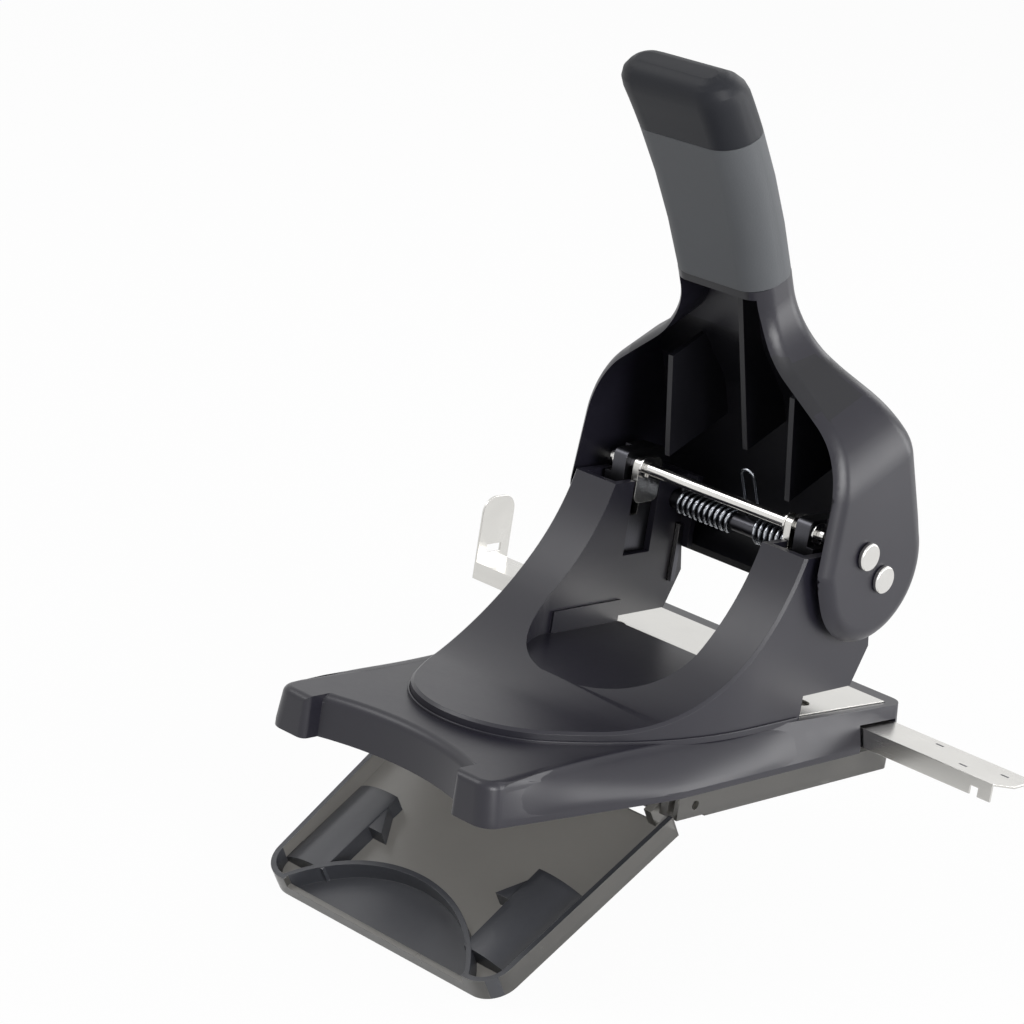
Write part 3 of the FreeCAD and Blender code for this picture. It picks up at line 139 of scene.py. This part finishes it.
# finishes: grain and lines are per metre, their depths in mm

plasticPattern = {
    "cloud": (38, 3),         # scale per metre, detail
    "wear": (420, 4, 0.6),    # and roughness
    "cloudInColour": 0.7,     # the rest is wear
    "cloudInRough": 0.6,
}


def mouldedPlastic(name, look):
    finish = Finish(bpy.data.materials.new(name))
    spot = finish.place()
    cloud = finish.noise(spot, *plasticPattern["cloud"])
    wear = finish.noise(spot, *plasticPattern["wear"])
    colour = mixed(cloud, wear, plasticPattern["cloudInColour"])
    rough = mixed(cloud, wear, plasticPattern["cloudInRough"])
    return finish.close({
        "Base Color": finish.blend(colour, look["dark"], look["light"]),
        "Roughness": between(*look["rough"], rough),
        "Normal": finish.bump(finish.noise(spot, look["grain"]), look["grainDepth"]),
        **look.get("extra", {})})


plasticLook = {
    "dark": (0.0085, 0.0078, 0.0135),
    "light": (0.0150, 0.0142, 0.0225),
    "grain": 2600,
    "grainDepth": 0.012,
    "rough": (0.30, 0.44),
}

smokeLook = {
    "dark": (0.175, 0.170, 0.162),
    "light": (0.235, 0.226, 0.210),
    "grain": 1800,
    "grainDepth": 0.008,
    "rough": (0.24, 0.34),
    "extra": {"Transmission Weight": 0.75},
}

deepLook = {
    "dark": (0.040, 0.042, 0.050),
    "light": (0.065, 0.068, 0.078),
    "grain": 1800,
    "grainDepth": 0.008,
    "rough": (0.26, 0.36),
    "extra": {"Transmission Weight": 0.2},
}

# the lever's hollow: a darker copy of the black plastic, painted shade
hollowShadeLook = {
    "dark": (0.003, 0.003, 0.005),
    "light": (0.006, 0.006, 0.010),
    "grain": 2200,
    "grainDepth": 0.012,
    "rough": (0.42, 0.55),
}

gripLook = {
    "dark": (0.060, 0.064, 0.070),
    "light": (0.085, 0.090, 0.098),
    "grain": 1500,
    "grainDepth": 0.05,
    "rough": (0.55, 0.70),
}

tipLook = {
    "dark": (0.004, 0.005, 0.008),
    "light": (0.009, 0.010, 0.015),
    "grain": 1800,
    "grainDepth": 0.02,
    "rough": (0.48, 0.60),
    "extra": {"Specular IOR Level": 0.32},
}

steelPattern = {
    "line": (3, 0.7),       # detail, roughness
    "stain": (55, 4),       # scale per metre, detail
    "lineInColour": 0.5,    # the rest is stain
    "lineInRough": 0.4,
}


def brushedSteel(name, look, along):
    finish = Finish(bpy.data.materials.new(name))
    stretched = finish.add("ShaderNodeMapping", {}, {"Vector": finish.place(), "Scale": along})
    lines = finish.noise(stretched, look["lines"], *steelPattern["line"])
    stain = finish.noise(finish.place(), *steelPattern["stain"])
    colour = mixed(lines, stain, steelPattern["lineInColour"])
    rough = mixed(lines, stain, steelPattern["lineInRough"])
    return finish.close({
        "Base Color": finish.blend(colour, look["dark"], look["light"]),
        "Metallic": 1.0,
        "Roughness": between(*look["rough"], rough),
        "Normal": finish.bump(lines, look["lineDepth"])})


steelLook = {
    "dark": (0.55, 0.54, 0.52),
    "light": (0.74, 0.73, 0.70),
    "lines": 2400,
    "lineDepth": 0.004,
    "rough": (0.16, 0.34),
}

turnedLook = {
    "dark": (0.62, 0.61, 0.59),
    "light": (0.80, 0.79, 0.77),
    "lines": 3000,
    "lineDepth": 0.002,
    "rough": (0.10, 0.22),
}

wireLook = {
    "dark": (0.34, 0.36, 0.40),
    "light": (0.56, 0.58, 0.62),
    "lines": 3000,
    "lineDepth": 0.002,
    "rough": (0.14, 0.26),
}

# dark steel: the carriers' own colour, and painted shade on the shaft's middle, the frame's inner
# sides and the guide's marks
burnishedAndShadeLook = {
    "dark": (0.05, 0.05, 0.06),
    "light": (0.11, 0.11, 0.12),
    "lines": 1800,
    "lineDepth": 0.004,
    "rough": (0.26, 0.42),
}

blackPlastic = mouldedPlastic("blackPlastic", plasticLook)
smokePlastic = mouldedPlastic("smokePlastic", smokeLook)
deepSmoke = mouldedPlastic("deepSmoke", deepLook)
hollowShadePlastic = mouldedPlastic("hollowShadePlastic", hollowShadeLook)
greyGrip = mouldedPlastic("greyGrip", gripLook)
blackGrip = mouldedPlastic("blackGrip", tipLook)
sheetSteel = brushedSteel("sheetSteel", steelLook, (0.02, 1, 1))
uprightSteel = brushedSteel("uprightSteel", steelLook, (1, 1, 0.02))
turnedSteel = brushedSteel("turnedSteel", turnedLook, (1, 0.05, 0.05))
wireSteel = brushedSteel("wireSteel", wireLook, (1, 1, 1))
darkSteel = brushedSteel("darkSteel", burnishedAndShadeLook, (1, 1, 0.04))
print("finishes made")


# how every piece is cleaned, softened and handed over

rims = {
    "weld": 0.002,    # mm
    "flat": 0.4,      # degrees, faces this level with each other become one
    "sharp": 32,      # degrees, edges above this are softened
    "room": 1.4,      # rim widths, an edge with a shorter neighbour stays as it is
    "steps": 2,
    "even": 50,       # weight of the large faces in the shading
    "crease": 50,     # degrees, on pieces with no softened rim
}


def softenRims(bm, rim):
    sharp = {edge for edge in bm.edges if len(edge.link_faces) == 2
             and edge.calc_face_angle(0) > math.radians(rims["sharp"])}
    tight = {vert for edge in sharp for vert in edge.verts
             if any(other.calc_length() < rims["room"] * rim * mm
                    for other in vert.link_edges if other not in sharp)}
    chosen = [edge for edge in sharp if not tight.intersection(edge.verts)]
    bmesh.ops.bevel(bm, geom=chosen, offset=rim * mm, offset_type="OFFSET", affect="EDGES",
                    segments=rims["steps"], profile=0.5, material=-1, clamp_overlap=True)


def settle(bm, name, body, material, replaced=(), rim=0.0):
    if rim:
        softenRims(bm, rim)
    mesh = bpy.data.meshes.new(name)
    bm.to_mesh(mesh)
    bm.free()
    mesh.materials.append(material)
    mesh.shade_smooth()
    piece = bpy.data.objects.new(name, mesh)
    bpy.context.scene.collection.objects.link(piece)
    if rim:
        even = piece.modifiers.new("even", "WEIGHTED_NORMAL")
        even.mode = "FACE_AREA_WITH_ANGLE"
        even.weight = rims["even"]
    else:
        mesh.set_sharp_from_angle(angle=math.radians(rims["crease"]))
    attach(piece, body)
    if replaced:
        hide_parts(*replaced)
    return piece


def nodeTop(node):
    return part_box(node)[1].z


def mergedCopy(node):
    bm = bmesh.new()
    bm.from_mesh(nodes[node].data)
    bmesh.ops.remove_doubles(bm, verts=bm.verts, dist=rims["weld"] * mm)
    bmesh.ops.dissolve_limit(bm, angle_limit=math.radians(rims["flat"]),
                             verts=bm.verts, edges=bm.edges)
    return bm


def carryOver(node, name, body, material, rim):
    return settle(mergedCopy(node), name, body, material, [node], rim)


# as carryOver, with a second finish on the faces that the test picks
def twoToned(node, name, body, material, rim, second, picked):
    piece = carryOver(node, name, body, material, rim)
    piece.data.materials.append(second)
    for face in piece.data.polygons:
        face.material_index = int(picked(face.center / mm, face.normal))


# the moulded and pressed pieces keep their solids' shape and get softened rims

carried = {
    "yoke_cover": ("yokeCover", "base", blackPlastic, 0.45),
    "rear_cover": ("rearCover", "base", smokePlastic, 0.3),
    "table_plate": ("tablePlate", "base", sheetSteel, 0.15),
    "die_plate": ("diePlate", "base", sheetSteel, 0.1),
    "tray_hinge_pins": ("trayHingePins", "base", turnedSteel, 0.1),
    "guide_spring": ("guideSpring", "base", sheetSteel, 0.05),
    "punch_guide_left": ("punchGuideLeft", "base", turnedSteel, 0.15),
    "punch_guide_right": ("punchGuideRight", "base", turnedSteel, 0.15),
    "cover_screws": ("coverScrews", "base", turnedSteel, 0.15),
    "frame_screws": ("frameScrews", "base", turnedSteel, 0.15),
    "rod_clips": ("rodClips", "crosshead", turnedSteel, 0.1),
    "punch_carrier_left": ("punchCarrierLeft", "crosshead", darkSteel, 0.15),
    "punch_carrier_right": ("punchCarrierRight", "crosshead", darkSteel, 0.15),
    "guide_lugs": ("guideLugs", "crosshead", uprightSteel, 0.15),
    "punch_pin_left": ("punchPinLeft", "crosshead", turnedSteel, 0.1),
    "punch_pin_right": ("punchPinRight", "crosshead", turnedSteel, 0.1),
    "cross_rod": ("crossRod", "crosshead", turnedSteel, 0.1),
    "paper_guide": ("paperGuide", "side_guide", sheetSteel, 0.15),
    "drive_pins": ("drivePins", "lever", turnedSteel, 0.2),
    "grip_sleeve": ("gripSleeve", "lever", greyGrip, 0.3),
    "grip_tip": ("gripTip", "lever", blackGrip, 0.3),
}

for node, (name, body, material, rim) in carried.items():
    carryOver(node, name, body, material, rim)
print("carried pieces finished")


# the paper guide: three dark patches flush with its top, painted shade standing in for stamped
# marks

guideMarks = {
    "at": ((76.9, 46.6), (91.9, 38.8), (104.5, 44.0)),
    "long": 3.0,
    "wide": 0.9,
    "deep": 0.3,
    "topZ": 17.03,
}


def makeGuideMarks():
    sizes = guideMarks
    bm = bmesh.new()
    scale = Matrix.Diagonal((sizes["long"] * mm, sizes["wide"] * mm, sizes["deep"] * mm, 1))
    for along, across in sizes["at"]:
        middle = Vector((along, across, sizes["topZ"] - sizes["deep"] / 2)) * mm
        bmesh.ops.create_cube(bm, size=1, matrix=Matrix.Translation(middle) @ scale)
    settle(bm, "guideMarks", "side_guide", darkSteel)


# the base: a broad rounding on the outer top edges of its two front feet

baseSizes = {
    "rim": 0.45,
    "round": 2.4,
    "steps": 5,
    "sharp": 35,        # degrees
    "sideX": 39.3,
    "frontY": -131.9,
    "waistY": -89.6,
    "footX": 31.5,
    "near": 0.01,
}


def baseShell():
    sizes = baseSizes
    bm = mergedCopy("base_shell")
    top = nodeTop("base_shell") / mm - 2 * sizes["near"]

    def onFlank(at):
        return at.z > top and abs(at.x) > sizes["sideX"] and at.y < sizes["waistY"]

    def onFront(at):
        return at.z > top and at.y < sizes["frontY"]

    def onCorner(at):
        return at.y < sizes["frontY"] and abs(abs(at.x) - sizes["footX"]) < sizes["near"]

    chosen = [edge for edge in bm.edges
              if edge.calc_face_angle(0) > math.radians(sizes["sharp"])
              and any(all(test(vert.co / mm) for vert in edge.verts)
                      for test in (onFlank, onFront, onCorner))]
    bmesh.ops.bevel(bm, geom=chosen, offset=sizes["round"] * mm, offset_type="OFFSET",
                    affect="EDGES", segments=sizes["steps"], profile=0.5, material=-1,
                    clamp_overlap=False)
    settle(bm, "baseShell", "base", blackPlastic, ["base_shell"], sizes["rim"])


# the flanks: one smooth rolled skin along each side of the base

flankSizes = {
    "frontY": -124.5,
    "rearY": 8.0,
    "lowZ": 10.9,
    "highZ": 22.1,
    "along": 34,        # cells
    "across": 11,       # rows
    "beyondX": 90,      # outside the base, where the feelers start
    "passes": 5,        # of smoothing along a row
    "bulge": 1.3,
    "fullness": 0.7,    # lower is squarer
    "proud": 0.12,
    "lip": ((0.2, -0.12), (0.9, 0.06), (2.9, 0.02)),    # inset, and height over the base's top
    "thick": 0.5,
    "blend": 7,         # cells over which each end sinks into the base
    "sunk": 0.2,
    "dip": 0.8,         # how far the top row goes down at the ends
    "dipPower": 4,
}


# how far out the base's side stands at each level, smoothed along the side
def flankRows(side):
    sizes = flankSizes
    bm = mergedCopy("base_shell")
    tree = BVHTree.FromBMesh(bm)
    bm.free()
    rows = []
    for step in range(sizes["across"]):
        share = step / (sizes["across"] - 1)
        level = between(sizes["lowZ"], sizes["highZ"], share)
        reach = []
        for place in range(sizes["along"] + 1):
            at = between(sizes["frontY"], sizes["rearY"], place / sizes["along"])
            start = Vector((side * sizes["beyondX"], at, level)) * mm
            reach.append(abs(tree.ray_cast(start, Vector((-side, 0, 0)))[0].x) / mm)
        for turn in range(sizes["passes"]):
            inner = [(before + 2 * here + after) / 4
                     for before, here, after in zip(reach, reach[1:], reach[2:])]
            reach = [reach[0], *inner, reach[-1]]
        rows.append((level, share, reach))
    top = nodeTop("base_shell") / mm
    rows += [(top + above, 1, [out - inset for out in reach]) for inset, above in sizes["lip"]]
    return rows


def flankSkin(side, name):
    sizes = flankSizes
    along, rows = sizes["along"], flankRows(side)
    bm = bmesh.new()
    bmesh.ops.create_grid(bm, x_segments=along, y_segments=len(rows) - 1, size=1)
    for vert in bm.verts:    # the grid runs from -1 to 1
        place = round((vert.co.x + 1) / 2 * along)
        level, share, reach = rows[round((vert.co.y + 1) / 2 * (len(rows) - 1))]
        near = min(1, place / sizes["blend"], (along - place) / sizes["blend"])
        full = math.sin(near * math.pi / 2) ** 2
        roll = sizes["proud"] + sizes["bulge"] * math.sin(math.pi * share) ** sizes["fullness"]
        lift = (roll + sizes["sunk"]) * full - sizes["sunk"]
        at = between(sizes["frontY"], sizes["rearY"], place / along)
        dip = sizes["dip"] * (1 - full) * share ** sizes["dipPower"]
        vert.co = Vector((side * (reach[place] + lift), at, level - dip)) * mm
    bm.normal_update()
    if sum(face.normal.x for face in bm.faces) * side < 0:
        bmesh.ops.reverse_faces(bm, faces=bm.faces)
    bmesh.ops.solidify(bm, geom=bm.faces[:], thickness=sizes["thick"] * mm)
    bmesh.ops.recalc_face_normals(bm, faces=bm.faces)
    settle(bm, name, "base", blackPlastic)


# a low bead where the yoke stands on the base

beadSizes = {
    "height": 1.0,
    "reach": 0.7,
    "sunk": 1.2,
    "rearY": 5.0,
    "armX": 40.0,       # further out than this, the arms' sides count too
    "upright": 0.1,     # of the normal's z
    "ahead": -0.05,     # of the normal's y
    "near": 0.01,
    "rim": 0.25,
}


def yokeBead():
    sizes = beadSizes
    bm = mergedCopy("yoke_cover")
    foot = min(vert.co.z for vert in bm.verts)
    ground = foot + sizes["near"] * mm

    def isSkirt(face):
        middle = face.calc_center_median()
        return (abs(face.normal.z) < sizes["upright"]
                and min(vert.co.z for vert in face.verts) < ground
                and face.normal.xy.dot(middle.xy) > 0
                and (face.normal.y < sizes["ahead"] or abs(middle.x) > sizes["armX"] * mm))

    spare = [face for face in bm.faces if not isSkirt(face)]
    bmesh.ops.delete(bm, geom=spare, context="FACES")
    for point, direction in (((0, 0, foot + sizes["height"] * mm), (0, 0, 1)),
                             ((0, sizes["rearY"] * mm, 0), (0, 1, 0))):
        bmesh.ops.bisect_plane(bm, geom=bm.verts[:] + bm.edges[:] + bm.faces[:], dist=1e-7,
                               plane_co=point, plane_no=direction, clear_outer=True)
    bmesh.ops.translate(bm, verts=[vert for vert in bm.verts if vert.co.z < ground],
                        vec=(0, 0, -sizes["sunk"] * mm))
    bmesh.ops.solidify(bm, geom=bm.faces[:], thickness=-sizes["reach"] * mm)
    bmesh.ops.recalc_face_normals(bm, faces=bm.faces)
    settle(bm, "yokeBead", "base", blackPlastic, rim=sizes["rim"])


# the steel frame: its sideways faces inside the arms painted dark as shade, bright lips and floor

frameSizes = {
    "rim": 0.15,
    "sideways": 0.9,    # of the normal's x
}


def steelFrame():
    tableTop = nodeTop("table_plate") / mm
    twoToned("steel_frame", "steelFrame", "base", uprightSteel, frameSizes["rim"], darkSteel,
             lambda at, normal: abs(normal.x) > frameSizes["sideways"] and at.z > tableTop)


# the tray: the scoop and the corner blocks are thicker, so the smoke tint is deeper there

traySizes = {
    "rim": 0.3,
    "pivot": (0, -46.0, 4.5),
    "open": 33.0,       # degrees
    "floorZ": 1.9,      # this and the rest with the tray shut
    "frontY": -134.5,
    "rearY": -91.0,
    "scoopX": 41.0,
    "scoopY": -112.5,
    "scoopZ": 1.0,
    "blockX": 24.5,
    "outerX": 49.6,
}


def chipTray():
    sizes = traySizes
    pivot = Vector(sizes["pivot"])
    shut = Matrix.Rotation(math.radians(-sizes["open"]), 4, "X")

    def isThick(at, normal):
        at = shut @ (at - pivot) + pivot
        ahead = sizes["frontY"] < at.y
        scoop = at.y < sizes["scoopY"] and abs(at.x) < sizes["scoopX"] and at.z > sizes["scoopZ"]
        block = (at.y < sizes["rearY"] and sizes["blockX"] < abs(at.x) < sizes["outerX"]
                 and at.z > sizes["floorZ"])
        return ahead and (scoop or block)

    twoToned("chip_tray", "chipTray", "tray", smokePlastic, sizes["rim"], deepSmoke, isThick)


# the lever: the hollow between its cheeks gets a darker, rougher copy of the plastic; its darker
# colour is painted shade

leverSizes = {
    "rim": 0.4,
    "cheekX": 38.0,
    "neckX": 14.0,
    "neckZ": 135.0,
    "sleeveZ": 160.0,
    "facing": 0.2,      # of the normal's y, above this a face looks back
}


def leverShell():
    sizes = leverSizes

    def isShadedHollow(at, normal):
        reach = sizes["cheekX"] if at.z < sizes["neckZ"] else sizes["neckX"]
        return abs(at.x) < reach and normal.y < sizes["facing"] and at.z < sizes["sleeveZ"]

    twoToned("lever_shell", "leverShell", "lever", blackPlastic, sizes["rim"], hollowShadePlastic,
             isShadedHollow)


# the pivot shaft: bright heads, and its middle between the lever's cheeks painted dark as shade

shaftSizes = {
    "rim": 0.2,
    "shadedMiddleX": leverSizes["cheekX"],
}


def pivotShaft():
    twoToned("pivot_shaft", "pivotShaft", "base", turnedSteel, shaftSizes["rim"], darkSteel,
             lambda at, normal: abs(at.x) < shaftSizes["shadedMiddleX"])


makeGuideMarks()
pivotShaft()
baseShell()
flankSkin(1, "flankRight")
flankSkin(-1, "flankLeft")
steelFrame()
yokeBead()
chipTray()
leverShell()
print("base, tray and lever dressed")


# the springs: two coils round the pivot, and between them the loop that bears on the lever

spring = {
    "wire": 0.65,       # this and the ring are radii
    "ring": 3.8,
    "turns": 10,
    "innerX": 5.4,
    "outerX": 28.8,
    "sides": 10,
    "steps": 28,        # in a turn
}


def only(kind, items):
    return [item for item in items if isinstance(item, kind)]


def ringEdges(edges, verts):
    return [edge for edge in edges if set(edge.verts) <= set(verts)]


def wireRing(bm, centre, normal, sizes):
    turn = normal.to_track_quat("Z", "Y").to_matrix().to_4x4()
    verts = bmesh.ops.create_circle(bm, cap_ends=False, segments=sizes["sides"],
                                    radius=sizes["wire"] * mm,
                                    matrix=Matrix.Translation(centre) @ turn)["verts"]
    return verts, ringEdges(bm.edges, verts)


def drawOut(bm, edges, rise):
    moved = bmesh.ops.extrude_edge_only(bm, edges=edges)["geom"]
    verts = only(bmesh.types.BMVert, moved)
    bmesh.ops.translate(bm, verts=verts, vec=(0, 0, rise))
    return verts, ringEdges(only(bmesh.types.BMEdge, moved), verts)


def springAxis():
    low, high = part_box("return_spring")
    return (low + high) / 2


def returnSpring():
    axis = springAxis()
    steps = spring["steps"] * spring["turns"]
    bm = bmesh.new()
    for side in (-1, 1):
        start = Vector((spring["innerX"] * mm * side, axis.y, axis.z + spring["ring"] * mm))
        verts, first = wireRing(bm, start, Vector((0, 1, 0)), spring)
        travel = (spring["outerX"] - spring["innerX"]) * mm * side / steps
        made = bmesh.ops.spin(bm, geom=verts + first, cent=(axis.x, axis.y, axis.z),
                              axis=(1, 0, 0), dvec=(travel, 0, 0),
                              angle=math.tau * spring["turns"], steps=steps, use_merge=False,
                              use_normal_flip=False, use_duplicate=False)
        for ring in (first, only(bmesh.types.BMEdge, made["geom_last"])):
            bmesh.ops.contextual_create(bm, geom=ring)
    bmesh.ops.recalc_face_normals(bm, faces=bm.faces)
    settle(bm, "returnSpring", "base", wireSteel, ["return_spring"])


loop = {
    "wire": 0.65,
    "half": 2.6,        # from the middle to a leg
    "height": 17.5,
    "low": 1.5,
    "across": 3.8,
    "lean": 25.0,       # degrees back from upright, as the lever
    "sides": 10,
    "steps": 14,
}


def springLoop():
    bm = bmesh.new()
    half, across, low, height = [loop[key] * mm for key in ("half", "across", "low", "height")]
    verts, foot = wireRing(bm, Vector((half, across, low)), Vector((0, 0, 1)), loop)
    verts, edges = drawOut(bm, foot, height - low)
    made = bmesh.ops.spin(bm, geom=verts + edges, cent=(0, across, height), axis=(0, -1, 0),
                          angle=math.pi, steps=loop["steps"])
    verts, end = drawOut(bm, only(bmesh.types.BMEdge, made["geom_last"]), low - height)
    for ring in (foot, end):
        bmesh.ops.contextual_create(bm, geom=ring)
    bmesh.ops.recalc_face_normals(bm, faces=bm.faces)
    axis = springAxis()
    bm.transform(Matrix.Translation((0, axis.y, axis.z))
                 @ Matrix.Rotation(math.radians(loop["lean"]), 4, "X"))
    settle(bm, "springLoop", "lever", wireSteel, ["spring_loop"])


returnSpring()
springLoop()
print("springs finished")


# studio: a pale floor and sky, soft lamps and the camera

studio = {
    "floorDrop": 0.2,      # mm under the lowest point
    "floorSize": 6.0,
    "floorColour": (0.86, 0.86, 0.86, 1),
    "seenShare": 0.96,     # of white that the floor shows, the rest keeps the shadow
    "worldLight": 0.34,
    "white": (1, 1, 1, 1),
}


def paleFinish():
    finish = Finish(bpy.data.materials.new("paleFloor"))
    matt = finish.add("ShaderNodeBsdfDiffuse", {}, {"Color": studio["floorColour"]})
    glow = finish.add("ShaderNodeEmission", {}, {"Color": studio["white"], "Strength": 1.0})
    shown = finish.add("ShaderNodeMixShader", {},
                       {0: finish.seen() * studio["seenShare"], 1: matt, 2: glow})
    finish.add("ShaderNodeOutputMaterial", {}, {0: shown})
    return finish.owner


def makeFloor():
    bm = bmesh.new()
    drop = cadLow.z - studio["floorDrop"] * mm
    bmesh.ops.create_grid(bm, x_segments=1, y_segments=1, size=studio["floorSize"] / 2,
                          matrix=Matrix.Translation((0, 0, drop)))
    mesh = bpy.data.meshes.new("floor")
    bm.to_mesh(mesh)
    bm.free()
    mesh.materials.append(paleFinish())
    floor = bpy.data.objects.new("floor", mesh)
    bpy.context.scene.collection.objects.link(floor)


def makeWorld():
    world = bpy.data.worlds.new("studio")
    bpy.context.scene.world = world
    sky = Finish(world)
    light = between(studio["worldLight"], 1, sky.seen())
    shown = sky.add("ShaderNodeBackground", {}, {"Color": studio["white"], "Strength": light})
    sky.add("ShaderNodeOutputWorld", {}, {0: shown})


lamps = {    # metres and watts
    "key": {"at": (-0.9, -1.0, 1.5), "size": 1.1, "power": 10},
    "side": {"at": (1.5, -0.4, 0.5), "size": 0.9, "power": 18},
    "sheen": {"at": (1.1, 1.3, 0.25), "size": 1.2, "power": 15},
    "back": {"at": (-0.2, 1.5, 1.1), "size": 1.0, "power": 6},
}
lampAim = (0, -0.03, 0.08)


def makeLamps():
    for name, lamp in lamps.items():
        light = bpy.data.lights.new(name, "AREA")
        light.shape = "DISK"
        light.size = lamp["size"]
        light.energy = lamp["power"]
        piece = bpy.data.objects.new(name, light)
        spot = Vector(lamp["at"])
        turn = (Vector(lampAim) - spot).to_track_quat("-Z", "Y").to_matrix().to_4x4()
        piece.matrix_world = Matrix.Translation(spot) @ turn
        bpy.context.scene.collection.objects.link(piece)


cameraView = {
    "azimuth": 41.37,      # degrees, as the next two
    "elevation": 15.96,
    "roll": 8.8,
    "target": (-42.68, -40.0, 67.97),
    "distance": 1060.74,
    "lens": 116.4,
    "sensor": 36,
    "farthest": 20,        # metres
}


def makeCamera():
    turn, lift, lean = [math.radians(cameraView[key]) for key in ("azimuth", "elevation", "roll")]
    back = Vector((math.sin(turn) * math.cos(lift), -math.cos(turn) * math.cos(lift),
                   math.sin(lift)))
    level = Vector((math.cos(turn), math.sin(turn), 0))
    right = level * math.cos(lean) + back.cross(level) * math.sin(lean)
    axes = Matrix((right, back.cross(right), back)).transposed().to_4x4()
    spot = (Vector(cameraView["target"]) + back * cameraView["distance"]) * mm
    data = bpy.data.cameras.new("camera")
    data.lens = cameraView["lens"]
    data.sensor_width = cameraView["sensor"]
    data.clip_end = cameraView["farthest"]
    camera = bpy.data.objects.new("camera", data)
    camera.matrix_world = Matrix.Translation(spot) @ axes
    bpy.context.scene.collection.objects.link(camera)
    bpy.context.scene.camera = camera


makeFloor()
makeWorld()
makeLamps()
makeCamera()
bpy.context.scene.view_settings.view_transform = "Standard"
print("studio ready")
